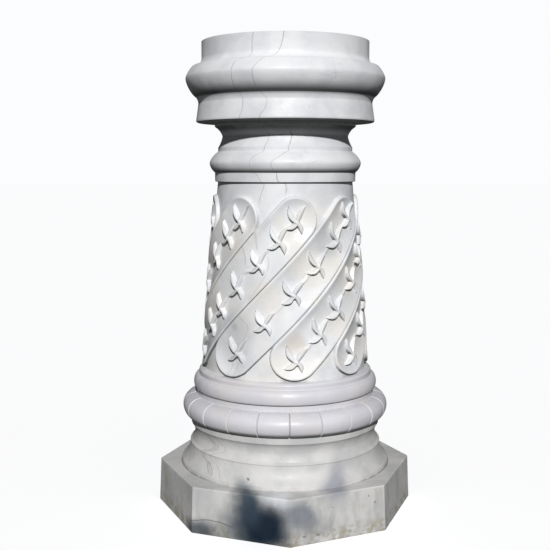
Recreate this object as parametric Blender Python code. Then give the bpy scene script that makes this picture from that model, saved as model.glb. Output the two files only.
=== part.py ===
"""A carved marble column of two stones: an eight-sided base block, and a shaft block that stands on it.

Metres, +Z up. The origin is the middle of the underside, and a corner of the plinth points along -Y.
"""
import bmesh
import bpy
from math import asin, atan2, cos, hypot, pi, radians, sin, tan
from mathutils import Vector
from mathutils.geometry import delaunay_2d_cdt

# Plinth
PLINTH_SIDES = 8
PLINTH_CORNER_RADIUS = 0.2756
PLINTH_BATTER = 0.0040
PLINTH_HEIGHT = 0.0950

# Round foot mouldings, carved on the plinth
FOOT_BAND_RADIUS = 0.2277
FOOT_BAND_HEIGHT = 0.0085
FOOT_BAND_EASING = 0.0032
APRON_TOP_RADIUS = 0.2085
APRON_HEIGHT = 0.0333
APRON_HOLLOW = 0.0035
LIP_RADIUS = 0.2097
LIP_EDGE_HEIGHT = 0.0025
LIP_TOP_HEIGHT = 0.0040
LIP_TOP_RADIUS = 0.2045
SCOTIA_THROAT_RADIUS = 0.1988
SCOTIA_LOWER_HEIGHT = 0.0155
SCOTIA_UPPER_HEIGHT = 0.0225
SCOTIA_LOWER_HOLLOW = 0.0008
SCOTIA_UPPER_HOLLOW = 0.0022
SEAT_RADIUS = 0.2065
SEAT_HEIGHT = 0.0145

# The joint between the two stones
JOINT_GAP = 0.0003

# Lobed torus at the foot of the shaft stone
LOBED_TORUS_RADIUS = 0.2244
LOBED_TORUS_OVERHANG = 0.0010
LOBED_TORUS_LOWER_HEIGHT = 0.0240
LOBED_TORUS_UPPER_HEIGHT = 0.0250
LOBE_COUNT = 21
LOBE_GROOVE_DEPTH = 0.0028
LOBE_TURN = radians(0.2)

# Fillet, small torus and bead under the shaft
COLLAR_RADIUS = 0.1940
COLLAR_HEIGHT = 0.0115
SMALL_TORUS_RADIUS = 0.2005
SMALL_TORUS_LOWER_HEIGHT = 0.0130
SMALL_TORUS_UPPER_HEIGHT = 0.0175
BEAD_RADIUS = 0.1885
BEAD_QUIRK = 0.0015
BEAD_HEIGHT = 0.0070
BEAD_EASING = 0.0065

# Tapering shaft
SHAFT_FOOT_RADIUS = 0.1750
SHAFT_HEAD_RADIUS = 0.1450
SHAFT_HEIGHT = 0.4010
SHAFT_ENTASIS = 0.0022

# Slanting panels
PANEL_COUNT = 8
PANEL_LEAN = radians(42.4)
PANEL_TURN = radians(4.8)
PANEL_FOOT_MARGIN = 0.0025
PANEL_HEAD_MARGIN = 0.0265
RIM_HEIGHT = 0.0080
RIM_WALL = 0.0015
RIM_WIDTH = 0.0030
RIM_INNER_WALL = 0.0020
FLUTE_EDGE_HEIGHT = 0.0066
FLUTE_FLOOR_HEIGHT = 0.0002

# Flower stars along each panel, a little below its centre line. Each arm has its direction on the sheet,
# counted from level and turning upwards, its length, how far it bows to its left, and half its width
STARS_PER_PANEL = 7
STARS_ON_THE_FRONT_PANEL = 6
FRONT_PANEL = 0
STAR_CROWDING = 0.10
STAR_OFFSET = 0.0065
STAR_HEIGHT = 0.0090
STAR_TIP_HEIGHT = 0.0020
STAR_HUB_RADIUS = 0.0075
STAR_RIDGE_SHARE = 0.55
STAR_BROADEST_SHARE = 0.45
STAR_ARMS = (
    {"heading": radians(56), "length": 0.039, "bow": 0.0035, "half_width": 0.0056},
    {"heading": radians(112), "length": 0.040, "bow": 0.0050, "half_width": 0.0072},
    {"heading": radians(207), "length": 0.030, "bow": 0.0045, "half_width": 0.0060},
    {"heading": radians(291), "length": 0.027, "bow": 0.0048, "half_width": 0.0060},
)

# Neck mouldings. Slopes are counted from level outwards and turn upwards
NECK_FASCIA_RADIUS = 0.1510
NECK_FASCIA_UNDERCUT = 0.0015
NECK_FASCIA_FLARE = 0.0003
NECK_FASCIA_HEIGHT = 0.0187
NECK_TORUS_RADIUS = 0.1625
NECK_TORUS_LOWER_HEIGHT = 0.0200
NECK_TORUS_UPPER_HEIGHT = 0.0235
NECK_TORUS_LOWER_SLOPE = radians(32)
NECK_TORUS_UPPER_SLOPE = radians(150)
NECK_TORUS_LOWER_REACH = 0.30
NECK_TORUS_UPPER_REACH = 0.25
NECK_SHOULDER_RADIUS = 0.1450
NECK_FILLET_RADIUS = 0.1440
NECK_FILLET_EASING = 0.0012
NECK_FILLET_HEIGHT = 0.0081
NECK_THROAT_RADIUS = 0.1346
NECK_HOLLOW_LOWER_HEIGHT = 0.0235
NECK_HOLLOW_UPPER_HEIGHT = 0.0155
NECK_HOLLOW_DEPTH = 0.0012
NECK_CAP_RADIUS = 0.1510
NECK_CAP_SLOPE_HEIGHT = 0.0052
NECK_CAP_HEIGHT = 0.0053

# Round capital
CAPITAL_UNDERSIDE_RISE = 0.0035
CAPITAL_FASCIA_RADIUS = 0.1912
CAPITAL_WAIST_RADIUS = 0.1855
CAPITAL_FASCIA_HEIGHT = 0.0385
CAPITAL_COVE_RADIUS = 0.1908
CAPITAL_COVE_HEIGHT = 0.0142
CAPITAL_COVE_HOLLOW = 0.0012
CAPITAL_TORUS_RADIUS = 0.2122
CAPITAL_TORUS_LOWER_HEIGHT = 0.0388
CAPITAL_TORUS_UPPER_HEIGHT = 0.0254
CAPITAL_TORUS_LOWER_SLOPE = radians(33)
CAPITAL_TORUS_UPPER_SLOPE = radians(155)
CAPITAL_TORUS_LOWER_REACH = 0.27
CAPITAL_TORUS_UPPER_REACH = 0.20
CAPITAL_CREST_RADIUS = 0.1965
CAPITAL_DRUM_RADIUS = 0.1780
CAPITAL_SHOULDER_HEIGHT = 0.0163
CAPITAL_DRUM_HEIGHT = 0.0345

# Slope of an upright face
PLUMB = radians(90)

# Fineness of the facets
STEPS_PER_PANEL = 5
STEPS_PER_LOBE = 3
CURVE_STEPS = 3
SHALLOW_STEPS = 2
PANEL_END_STEPS = 7
PANEL_SIDE_STEPS = 7
PANEL_BORDER_STEPS = (1, 3, 5, 3, 1)
SHARP_ANGLE = radians(35)
MERGE_DISTANCE = 0.00001
SLIVER_THICKNESS = 0.000002
SHEET_PRECISION = 1e-7
WHOLE_SHEET = 0


class Profile:
    """Outline of a turned stretch: radius and height, followed from the bottom up by one member at a time."""

    def __init__(self, radius, height):
        self.points = [(radius, height)]

    def straight(self, radius, rise):
        """A fillet, a slope or a flat."""
        height = self.points[-1][1] + rise
        self.points.append((radius, height))

    def swell(self, radius, rise, steps=CURVE_STEPS):
        """Quarter round that leaves level and arrives plumb. Towards the axis it is a hollow."""
        start_radius, start_height = self.points[-1]
        for step in range(1, steps + 1):
            turn = pi / 2 * step / steps
            self.points.append((start_radius + (radius - start_radius) * sin(turn),
                                start_height + rise * (1 - cos(turn))))

    def close_in(self, radius, rise, steps=CURVE_STEPS):
        """Quarter round that leaves plumb and arrives level."""
        start_radius, start_height = self.points[-1]
        for step in range(1, steps + 1):
            turn = pi / 2 * step / steps
            self.points.append((start_radius + (radius - start_radius) * (1 - cos(turn)),
                                start_height + rise * sin(turn)))

    def bend(self, radius, rise, leaving, arriving, reach, steps=CURVE_STEPS):
        """Curve that leaves and arrives at given slopes. A longer reach keeps nearer to those slopes."""
        start = Vector(self.points[-1])
        end = Vector((radius, start.y + rise))
        hold = (end - start).length * reach
        leave = start + hold * Vector((cos(leaving), sin(leaving)))
        arrive = end - hold * Vector((cos(arriving), sin(arriving)))
        for step in range(1, steps + 1):
            share = step / steps
            rest = 1 - share
            self.points.append(tuple(rest ** 3 * start + 3 * rest ** 2 * share * leave
                                     + 3 * rest * share ** 2 * arrive + share ** 3 * end))

    def arc(self, radius, rise, bulge, steps=CURVE_STEPS):
        """Part of a circle whose middle stands out from its chord by bulge. A bulge below 0 is a hollow."""
        start_radius, start_height = self.points[-1]
        half_chord = hypot(radius - start_radius, rise) / 2
        circle = (half_chord ** 2 + bulge ** 2) / (2 * abs(bulge))
        side = 1 if bulge > 0 else -1
        out_radius, out_height = rise / (2 * half_chord), (start_radius - radius) / (2 * half_chord)
        back = side * (circle - abs(bulge))
        centre_radius = (start_radius + radius) / 2 - out_radius * back
        centre_height = start_height + rise / 2 - out_height * back
        first = atan2(start_height - centre_height, start_radius - centre_radius)
        sweep = 2 * asin(half_chord / circle)
        for step in range(1, steps + 1):
            turn = first + side * sweep * step / steps
            self.points.append((centre_radius + circle * cos(turn), centre_height + circle * sin(turn)))


def on_circle(angle, radius, height):
    """Point at an angle that is counted from the front, -Y, towards +X."""
    return Vector((radius * sin(angle), -radius * cos(angle), height))


def add_ring(mesh, radius, height, steps, turn=0.0):
    """Ring of corners, the first at the turn angle or at the first even step before it."""
    first = turn % (2 * pi / steps)
    return [mesh.verts.new(on_circle(first + 2 * pi * step / steps, radius, height)) for step in range(steps)]


def angle_of(vert):
    return atan2(vert.co.x, -vert.co.y) % (2 * pi)


def stitch(mesh, lower, upper):
    """Close the strip between two rings, which may have different numbers of corners."""
    if len(lower) == len(upper):
        for at in range(len(lower)):
            after = (at + 1) % len(lower)
            mesh.faces.new((lower[at], lower[after], upper[after], upper[at]))
        return
    low = high = 0
    while low < len(lower) or high < len(upper):
        low_share = (low + 0.5) / len(lower)
        high_share = (high + 0.5) / len(upper)
        below, above = lower[low % len(lower)], upper[high % len(upper)]
        if low_share <= high_share:
            low += 1
            mesh.faces.new((below, lower[low % len(lower)], above))
        else:
            high += 1
            mesh.faces.new((below, upper[high % len(upper)], above))


def turn_profile(mesh, points, steps, below, turn=0.0):
    """Turn a profile about Z, joined to the ring below it. Returns its last ring."""
    for radius, height in points:
        ring = add_ring(mesh, radius, height, steps, turn)
        stitch(mesh, below, ring)
        below = ring
    return below


def finish(mesh, name, material):
    """Make one closed object of the mesh, with its round faces smooth."""
    bmesh.ops.recalc_face_normals(mesh, faces=mesh.faces)
    data = bpy.data.meshes.new(name)
    mesh.to_mesh(data)
    mesh.free()
    data.shade_smooth()
    data.set_sharp_from_angle(angle=SHARP_ANGLE)
    data.materials.append(material)
    made = bpy.data.objects.new(name, data)
    bpy.context.scene.collection.objects.link(made)
    return made


def marble(name, colour, roughness):
    material = bpy.data.materials.new(name)
    material.use_nodes = True
    shader = material.node_tree.nodes["Principled BSDF"]
    shader.inputs["Base Color"].default_value = (*colour, 1.0)
    shader.inputs["Roughness"].default_value = roughness
    shader.inputs["Metallic"].default_value = 0.0
    return material


def foot_profile():
    """Mouldings on the plinth, from the edge band up to the seat of the shaft stone."""
    foot = Profile(FOOT_BAND_RADIUS, PLINTH_HEIGHT)
    foot.straight(FOOT_BAND_RADIUS, FOOT_BAND_HEIGHT)
    foot.straight(FOOT_BAND_RADIUS - FOOT_BAND_EASING, FOOT_BAND_EASING)
    foot.arc(APRON_TOP_RADIUS, APRON_HEIGHT, -APRON_HOLLOW)
    foot.straight(LIP_RADIUS, LIP_EDGE_HEIGHT)
    foot.straight(LIP_TOP_RADIUS, LIP_TOP_HEIGHT)
    foot.arc(SCOTIA_THROAT_RADIUS, SCOTIA_LOWER_HEIGHT, -SCOTIA_LOWER_HOLLOW, SHALLOW_STEPS)
    foot.arc(SEAT_RADIUS, SCOTIA_UPPER_HEIGHT, -SCOTIA_UPPER_HOLLOW)
    foot.straight(SEAT_RADIUS, SEAT_HEIGHT)
    return foot.points


def lobed_torus_profile():
    torus = Profile(SEAT_RADIUS + LOBED_TORUS_OVERHANG, foot_profile()[-1][1] + JOINT_GAP)
    torus.swell(LOBED_TORUS_RADIUS, LOBED_TORUS_LOWER_HEIGHT)
    torus.close_in(COLLAR_RADIUS, LOBED_TORUS_UPPER_HEIGHT)
    return torus.points


def collar_profile():
    """Fillet, small torus and bead, up to the foot of the shaft."""
    collar = Profile(*lobed_torus_profile()[-1])
    collar.straight(COLLAR_RADIUS, COLLAR_HEIGHT)
    collar.swell(SMALL_TORUS_RADIUS, SMALL_TORUS_LOWER_HEIGHT, SHALLOW_STEPS)
    collar.close_in(BEAD_RADIUS + BEAD_QUIRK, SMALL_TORUS_UPPER_HEIGHT)
    collar.straight(BEAD_RADIUS, BEAD_QUIRK)
    collar.straight(BEAD_RADIUS, BEAD_HEIGHT)
    collar.close_in(SHAFT_FOOT_RADIUS, BEAD_EASING, SHALLOW_STEPS)
    return collar.points[1:]


def neck_profile():
    neck = Profile(SHAFT_HEAD_RADIUS, shaft_head())
    neck.straight(NECK_FASCIA_RADIUS, NECK_FASCIA_UNDERCUT)
    neck.straight(NECK_FASCIA_RADIUS + NECK_FASCIA_FLARE, NECK_FASCIA_HEIGHT)
    neck.bend(NECK_TORUS_RADIUS, NECK_TORUS_LOWER_HEIGHT, NECK_TORUS_LOWER_SLOPE, PLUMB,
              NECK_TORUS_LOWER_REACH)
    neck.bend(NECK_SHOULDER_RADIUS, NECK_TORUS_UPPER_HEIGHT, PLUMB, NECK_TORUS_UPPER_SLOPE,
              NECK_TORUS_UPPER_REACH)
    neck.straight(NECK_FILLET_RADIUS, NECK_FILLET_EASING)
    neck.straight(NECK_FILLET_RADIUS, NECK_FILLET_HEIGHT)
    neck.arc(NECK_THROAT_RADIUS, NECK_HOLLOW_LOWER_HEIGHT, -NECK_HOLLOW_DEPTH, SHALLOW_STEPS)
    neck.arc(NECK_FILLET_RADIUS, NECK_HOLLOW_UPPER_HEIGHT, -NECK_HOLLOW_DEPTH, SHALLOW_STEPS)
    neck.straight(NECK_CAP_RADIUS, NECK_CAP_SLOPE_HEIGHT)
    neck.straight(NECK_CAP_RADIUS, NECK_CAP_HEIGHT)
    return neck.points[1:]


def capital_profile():
    capital = Profile(*neck_profile()[-1])
    capital.straight(CAPITAL_FASCIA_RADIUS, CAPITAL_UNDERSIDE_RISE)
    capital.straight(CAPITAL_WAIST_RADIUS, CAPITAL_FASCIA_HEIGHT)
    capital.arc(CAPITAL_COVE_RADIUS, CAPITAL_COVE_HEIGHT, -CAPITAL_COVE_HOLLOW, SHALLOW_STEPS)
    capital.bend(CAPITAL_TORUS_RADIUS, CAPITAL_TORUS_LOWER_HEIGHT, CAPITAL_TORUS_LOWER_SLOPE, PLUMB,
                 CAPITAL_TORUS_LOWER_REACH)
    capital.bend(CAPITAL_CREST_RADIUS, CAPITAL_TORUS_UPPER_HEIGHT, PLUMB, CAPITAL_TORUS_UPPER_SLOPE,
                 CAPITAL_TORUS_UPPER_REACH)
    capital.swell(CAPITAL_DRUM_RADIUS, CAPITAL_SHOULDER_HEIGHT)
    capital.straight(CAPITAL_DRUM_RADIUS, CAPITAL_DRUM_HEIGHT)
    return capital.points[1:]


def shaft_foot():
    return collar_profile()[-1][1]


def shaft_head():
    return shaft_foot() + SHAFT_HEIGHT


def shaft_radius(height):
    """Radius of the bare shaft, with its slight swelling."""
    share = (height - shaft_foot()) / SHAFT_HEIGHT
    taper = (SHAFT_HEAD_RADIUS - SHAFT_FOOT_RADIUS) * share
    return SHAFT_FOOT_RADIUS + taper + 4 * SHAFT_ENTASIS * share * (1 - share)


def sheet_radius():
    """The carving is laid out on a flat sheet, which wraps the shaft at its mean radius."""
    return (SHAFT_FOOT_RADIUS + SHAFT_HEAD_RADIUS) / 2


class Panel:
    """One slanting panel with round ends, on the flat sheet: x runs round the shaft and y is the height."""

    def __init__(self):
        self.spacing = 2 * pi * sheet_radius() / PANEL_COUNT
        self.radius = self.spacing / 2 * cos(PANEL_LEAN)
        self.low_centre = shaft_foot() + PANEL_FOOT_MARGIN + self.radius
        self.high_centre = shaft_head() - PANEL_HEAD_MARGIN - self.radius
        self.middle = (self.low_centre + self.high_centre) / 2
        self.along = Vector((sin(PANEL_LEAN), cos(PANEL_LEAN)))
        self.across = Vector((cos(PANEL_LEAN), -sin(PANEL_LEAN)))

    def line_at(self, height):
        """Point of the panel's centre line at a height."""
        return Vector(((height - self.middle) * tan(PANEL_LEAN), height))

    def outline(self, radius, end_steps, side_steps):
        """Closed loop round the panel, at a distance from its centre line."""
        ends = ((self.line_at(self.low_centre), 1), (self.line_at(self.high_centre), -1))
        points = []
        for centre, side in ends:
            for step in range(end_steps + 1):
                turn = pi * step / end_steps
                points.append(centre + radius * side * (self.across * cos(turn) - self.along * sin(turn)))
            other = ends[0][0] if side < 0 else ends[1][0]
            for step in range(1, side_steps):
                points.append(centre.lerp(other, step / side_steps) - radius * side * self.across)
        return points

    def distance(self, point):
        """Distance of a point of the sheet from the panel's centre line."""
        low, high = self.line_at(self.low_centre), self.line_at(self.high_centre)
        share = (point - low).dot(high - low) / (high - low).length_squared
        return (point - low.lerp(high, min(1, max(0, share)))).length

    def relief(self, point):
        """Height of rim and flute over the bare shaft."""
        inset = self.radius - self.distance(point)
        crest_end = RIM_WALL + RIM_WIDTH
        flute_start = crest_end + RIM_INNER_WALL
        if inset <= RIM_WALL:
            return RIM_HEIGHT * max(0.0, inset) / RIM_WALL
        if inset <= crest_end:
            return RIM_HEIGHT
        if inset <= flute_start:
            return RIM_HEIGHT + (FLUTE_EDGE_HEIGHT - RIM_HEIGHT) * (inset - crest_end) / RIM_INNER_WALL
        share = (self.radius - inset) / (self.radius - flute_start)
        return FLUTE_FLOOR_HEIGHT + (FLUTE_EDGE_HEIGHT - FLUTE_FLOOR_HEIGHT) * share ** 2


def star_places(panel, count):
    """Centres of the stars up a panel, a little closer together towards its head."""
    length = panel.high_centre - panel.low_centre
    places = []
    for at in range(count):
        share = at / (count - 1)
        crowded = share + STAR_CROWDING * share * (1 - share)
        places.append(panel.line_at(panel.low_centre + length * crowded) + panel.across * STAR_OFFSET)
    return places


def star_arm_point(centre, arm, share, sideways=0.0):
    """Point at a share of an arm's length, and at a share of its width to one side of its ridge."""
    forward = Vector((cos(arm["heading"]), sin(arm["heading"])))
    left = Vector((-forward.y, forward.x))
    ridge = centre + forward * arm["length"] * share + left * arm["bow"] * 4 * share * (1 - share)
    return ridge + left * arm["half_width"] * sideways


def add_star(sheet, centre):
    """Ridges and outline of one star. Ridge points are raised, and the outline lies in the flute."""
    hub = sheet.point(centre, STAR_HEIGHT)
    outline = []
    for at, arm in enumerate(STAR_ARMS):
        ridge = sheet.point(star_arm_point(centre, arm, STAR_RIDGE_SHARE), STAR_HEIGHT)
        tip = sheet.point(star_arm_point(centre, arm, 1.0), STAR_TIP_HEIGHT)
        right = sheet.point(star_arm_point(centre, arm, STAR_BROADEST_SHARE, -1.0))
        left = sheet.point(star_arm_point(centre, arm, STAR_BROADEST_SHARE, 1.0))
        next_heading = STAR_ARMS[(at + 1) % len(STAR_ARMS)]["heading"]
        between = arm["heading"] + (next_heading - arm["heading"]) % (2 * pi) / 2
        valley = sheet.point(centre + STAR_HUB_RADIUS * Vector((cos(between), sin(between))))
        sheet.line((hub, ridge, tip))
        outline += [right, tip, left, valley]
    sheet.line(outline + outline[:1])


class Sheet:
    """Flat layout of one panel's share of the shaft, with the lines that its facets must follow."""

    def __init__(self):
        self.points = []
        self.raised = []
        self.edges = []

    def point(self, place, raised=0.0):
        self.points.append(Vector(place))
        self.raised.append(raised)
        return len(self.points) - 1

    def line(self, indices):
        self.edges += list(zip(indices, indices[1:]))

    def loop(self, places):
        indices = [self.point(place) for place in places]
        self.line(indices + indices[:1])


def panel_heights(panel):
    """Heights of the corners up a panel's border, where its rounded ends begin and evenly between."""
    reach = panel.radius * sin(PANEL_LEAN)
    stops = (shaft_foot(), panel.low_centre - reach, panel.low_centre + reach,
             panel.high_centre - reach, panel.high_centre + reach, shaft_head())
    heights = [stops[0]]
    for start, end, count in zip(stops, stops[1:], PANEL_BORDER_STEPS):
        heights += [start + (end - start) * (part + 1) / count for part in range(count)]
    return heights


def lay_out_panel(panel, star_count):
    """Fill the sheet for one panel: border, rim, flute, centre line and stars."""
    sheet = Sheet()
    heights = panel_heights(panel)
    half = Vector((panel.spacing / 2, 0))
    left = [sheet.point(panel.line_at(height) - half) for height in heights]
    right = [sheet.point(panel.line_at(height) + half) for height in heights]
    shares = [step / STEPS_PER_PANEL for step in range(1, STEPS_PER_PANEL)]
    bottom = [sheet.point(panel.line_at(heights[0]) + half * (2 * share - 1)) for share in shares]
    top = [sheet.point(panel.line_at(heights[-1]) + half * (2 * share - 1)) for share in shares]
    sheet.line(left)
    sheet.line(right)
    sheet.line([left[0], *bottom, right[0]])
    sheet.line([left[-1], *top, right[-1]])
    crest = panel.radius - RIM_WALL
    for radius in (crest, crest - RIM_WIDTH, crest - RIM_WIDTH - RIM_INNER_WALL):
        sheet.loop(panel.outline(radius, PANEL_END_STEPS, PANEL_SIDE_STEPS))
    add_panel_foot(sheet, panel, left, right, heights)
    for centre in star_places(panel, star_count):
        add_star(sheet, centre)
    return sheet


def add_panel_foot(sheet, panel, left, right, heights):
    """The rounded ends' outer edge, from border to border."""
    reach = panel.radius * sin(PANEL_LEAN)
    ends = ((panel.low_centre, 1, right, left), (panel.high_centre, -1, left, right))
    for centre_height, side, from_border, to_border in ends:
        start = from_border[nearest(heights, centre_height - side * reach)]
        end = to_border[nearest(heights, centre_height + side * reach)]
        centre = panel.line_at(centre_height)
        between = []
        for step in range(1, PANEL_END_STEPS):
            turn = pi * step / PANEL_END_STEPS
            between.append(sheet.point(centre + panel.radius * side * (panel.across * cos(turn)
                                                                       - panel.along * sin(turn))))
        sheet.line([start, *between, end])


def nearest(values, wanted):
    return min(range(len(values)), key=lambda at: abs(values[at] - wanted))


def thickness_of(triangle):
    """Height of a triangle over its longest side. It is next to nothing for three points along a border."""
    first, second, third = triangle
    longest = max((second - first).length, (third - second).length, (first - third).length)
    return abs((second - first).cross(third - first)) / longest


def wrap_panel(mesh, panel, number, star_count):
    """Cut one panel's sheet into facets and wrap them on the shaft at the panel's own turn."""
    sheet = lay_out_panel(panel, star_count)
    places, _, faces, sources, _, _ = delaunay_2d_cdt(sheet.points, sheet.edges, [], WHOLE_SHEET,
                                                      SHEET_PRECISION, True)
    turn = PANEL_TURN + 2 * pi * number / PANEL_COUNT
    corners = []
    for place, source in zip(places, sources):
        raised = sheet.raised[source[0]] if source else 0.0
        radius = shaft_radius(place.y) + panel.relief(place) + raised
        corners.append(mesh.verts.new(on_circle(turn + place.x / sheet_radius(), radius, place.y)))
    for face in faces:
        if thickness_of([places[at] for at in face]) > SLIVER_THICKNESS:
            mesh.faces.new([corners[at] for at in face])


def border_turn(panel, height):
    """Turn of the panels' borders at a height, which the rings above and below follow."""
    return PANEL_TURN + (panel.line_at(height).x - panel.spacing / 2) / sheet_radius()


def carved_shaft(mesh, panel, below):
    """All panels round the shaft, closed to the ring below. Returns the ring at the shaft's head."""
    others = set(mesh.verts)
    for number in range(PANEL_COUNT):
        star_count = STARS_ON_THE_FRONT_PANEL if number == FRONT_PANEL else STARS_PER_PANEL
        wrap_panel(mesh, panel, number, star_count)
    carved = [vert for vert in mesh.verts if vert not in others]
    bmesh.ops.remove_doubles(mesh, verts=carved, dist=MERGE_DISTANCE)
    carved = [vert for vert in mesh.verts if vert not in others]
    foot, head = [sorted([vert for vert in carved if abs(vert.co.z - height) < MERGE_DISTANCE], key=angle_of)
                  for height in (shaft_foot(), shaft_head())]
    stitch(mesh, below, foot)
    return head


def base_block():
    mesh = bmesh.new()
    underside = add_ring(mesh, PLINTH_CORNER_RADIUS + PLINTH_BATTER, 0.0, PLINTH_SIDES)
    arris = add_ring(mesh, PLINTH_CORNER_RADIUS, PLINTH_HEIGHT, PLINTH_SIDES)
    mesh.faces.new(underside)
    stitch(mesh, underside, arris)
    seat = turn_profile(mesh, foot_profile(), PANEL_COUNT * STEPS_PER_PANEL, arris)
    mesh.faces.new(seat)
    return finish(mesh, "base_block", marble("clouded_white_marble", (0.62, 0.61, 0.60), 0.42))


def lobed_torus(mesh):
    """Torus at the foot of the shaft stone, cut into lobes by fine grooves. Returns its last ring."""
    points = lobed_torus_profile()
    rings = []
    for radius, height in points:
        ring = []
        for step in range(LOBE_COUNT * STEPS_PER_LOBE):
            depth = LOBE_GROOVE_DEPTH if step % STEPS_PER_LOBE == 0 else 0.0
            angle = LOBE_TURN + 2 * pi * step / (LOBE_COUNT * STEPS_PER_LOBE)
            ring.append(mesh.verts.new(on_circle(angle, radius - depth, height)))
        rings.append(ring)
    mesh.faces.new(rings[0])
    for lower, upper in zip(rings, rings[1:]):
        stitch(mesh, lower, upper)
    return rings[-1]


def shaft_block():
    mesh = bmesh.new()
    panel = Panel()
    steps = PANEL_COUNT * STEPS_PER_PANEL
    torus = lobed_torus(mesh)
    collar = turn_profile(mesh, collar_profile()[:-1], steps, torus, border_turn(panel, shaft_foot()))
    head = carved_shaft(mesh, panel, collar)
    head_turn = border_turn(panel, shaft_head())
    top = turn_profile(mesh, neck_profile() + capital_profile(), steps, head, head_turn)
    mesh.faces.new(top)
    return finish(mesh, "shaft_block", marble("veined_white_marble", (0.78, 0.78, 0.79), 0.38))


def main():
    for old in list(bpy.data.objects):
        bpy.data.objects.remove(old, do_unlink=True)
    base_block()
    shaft_block()


main()
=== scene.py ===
"""Looks of a carved marble column: its two stones as finished by the carver, in soft light.

Metres, +Z up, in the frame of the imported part. A corner of the plinth points along -Y.
"""
from math import asin, atan2, ceil, cos, hypot, pi, radians, sin, sqrt, tan

import bmesh
import bpy
import numpy as np
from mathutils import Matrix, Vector, noise


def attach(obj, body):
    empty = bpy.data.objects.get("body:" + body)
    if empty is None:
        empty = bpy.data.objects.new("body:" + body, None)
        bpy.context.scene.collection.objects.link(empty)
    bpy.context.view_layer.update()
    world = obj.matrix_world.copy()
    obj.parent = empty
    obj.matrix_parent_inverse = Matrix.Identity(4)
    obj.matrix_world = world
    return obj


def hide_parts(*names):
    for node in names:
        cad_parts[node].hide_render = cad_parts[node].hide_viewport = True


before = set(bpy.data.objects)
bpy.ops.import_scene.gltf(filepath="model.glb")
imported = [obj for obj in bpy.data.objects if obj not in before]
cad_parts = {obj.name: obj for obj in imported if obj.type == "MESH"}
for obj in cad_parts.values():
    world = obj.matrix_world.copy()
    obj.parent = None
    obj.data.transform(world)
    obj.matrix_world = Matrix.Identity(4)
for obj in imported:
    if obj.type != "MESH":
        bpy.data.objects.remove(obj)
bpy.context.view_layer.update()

# Plinth
PLINTH_SIDES = 8
PLINTH_CORNER_RADIUS = 0.2756
PLINTH_BATTER = 0.0040
PLINTH_HEIGHT = 0.0950

# Round foot mouldings, carved on the plinth
FOOT_BAND_RADIUS = 0.2277
FOOT_BAND_HEIGHT = 0.0085
FOOT_BAND_EASING = 0.0032
APRON_TOP_RADIUS = 0.2085
APRON_HEIGHT = 0.0333
APRON_HOLLOW = 0.0035
LIP_RADIUS = 0.2097
LIP_EDGE_HEIGHT = 0.0025
LIP_TOP_HEIGHT = 0.0040
LIP_TOP_RADIUS = 0.2045
SCOTIA_THROAT_RADIUS = 0.1988
SCOTIA_LOWER_HEIGHT = 0.0155
SCOTIA_UPPER_HEIGHT = 0.0225
SCOTIA_LOWER_HOLLOW = 0.0008
SCOTIA_UPPER_HOLLOW = 0.0022
SEAT_RADIUS = 0.2065
SEAT_HEIGHT = 0.0145

# The joint between the two stones
JOINT_GAP = 0.0003

# Lobed torus at the foot of the shaft stone
LOBED_TORUS_RADIUS = 0.2244
LOBED_TORUS_OVERHANG = 0.0010
LOBED_TORUS_LOWER_HEIGHT = 0.0240
LOBED_TORUS_UPPER_HEIGHT = 0.0250
LOBE_COUNT = 21
LOBE_GROOVE_DEPTH = 0.0028
LOBE_GROOVE_HALF_WIDTH = 0.0017
LOBE_SHOULDER = 0.0006
LOBE_SHOULDER_REACH = 0.0050
LOBE_STEPS = 8
LOBE_TURN = radians(0.2)

# Fillet, small torus and bead under the shaft
COLLAR_RADIUS = 0.1940
COLLAR_HEIGHT = 0.0115
SMALL_TORUS_RADIUS = 0.2005
SMALL_TORUS_LOWER_HEIGHT = 0.0130
SMALL_TORUS_UPPER_HEIGHT = 0.0175
BEAD_RADIUS = 0.1885
BEAD_QUIRK = 0.0015
BEAD_HEIGHT = 0.0070
BEAD_EASING = 0.0065

# Tapering shaft
SHAFT_FOOT_RADIUS = 0.1750
SHAFT_HEAD_RADIUS = 0.1450
SHAFT_HEIGHT = 0.4010
SHAFT_ENTASIS = 0.0022

# Slanting panels. Their rims are half-round beads
PANEL_COUNT = 8
PANEL_LEAN = radians(42.4)
PANEL_TURN = radians(4.8)
PANEL_FOOT_MARGIN = 0.0025
PANEL_HEAD_MARGIN = 0.0265
RIM_CREST = 0.0080
RIM_FOOT = 0.0032
RIM_HALF_WIDTH = 0.0045
RIM_WALL = 0.0012
RIM_BLEND = 0.0012
FLUTE_FLOOR = -0.0005
FLUTE_FULLNESS = 2.6
BORDER_COLUMNS = (0.0, 0.00035, 0.0009, 0.0018, 0.0030, 0.0045)

# Flower stars
STARS_PER_PANEL = 7
STAR_CROWDING = 0.10
STAR_OFFSET = 0.0065
STAR_HEIGHT = 0.0092
STAR_TIP_HEIGHT = 0.0034
STAR_LEAST_HEIGHT = 0.0008
STAR_HUB_HALF_WIDTH = 0.0048
STAR_BROADEST_SHARE = 0.42
STAR_WALL = 0.0015
STAR_SOFT_WALL = 0.0040
SOFT_WALL_START = -0.1
SOFT_WALL_SPAN = 0.9
SLOPE_STEP = 0.0004
STAR_WEB = 0.0030
STAR_REACH = 0.052
ARM_LEAST_WIDTH = 0.0006
ARM_TAPER = 1.2
CREST_FALL = 2.2
BLADE_FALL = 1.5
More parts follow.
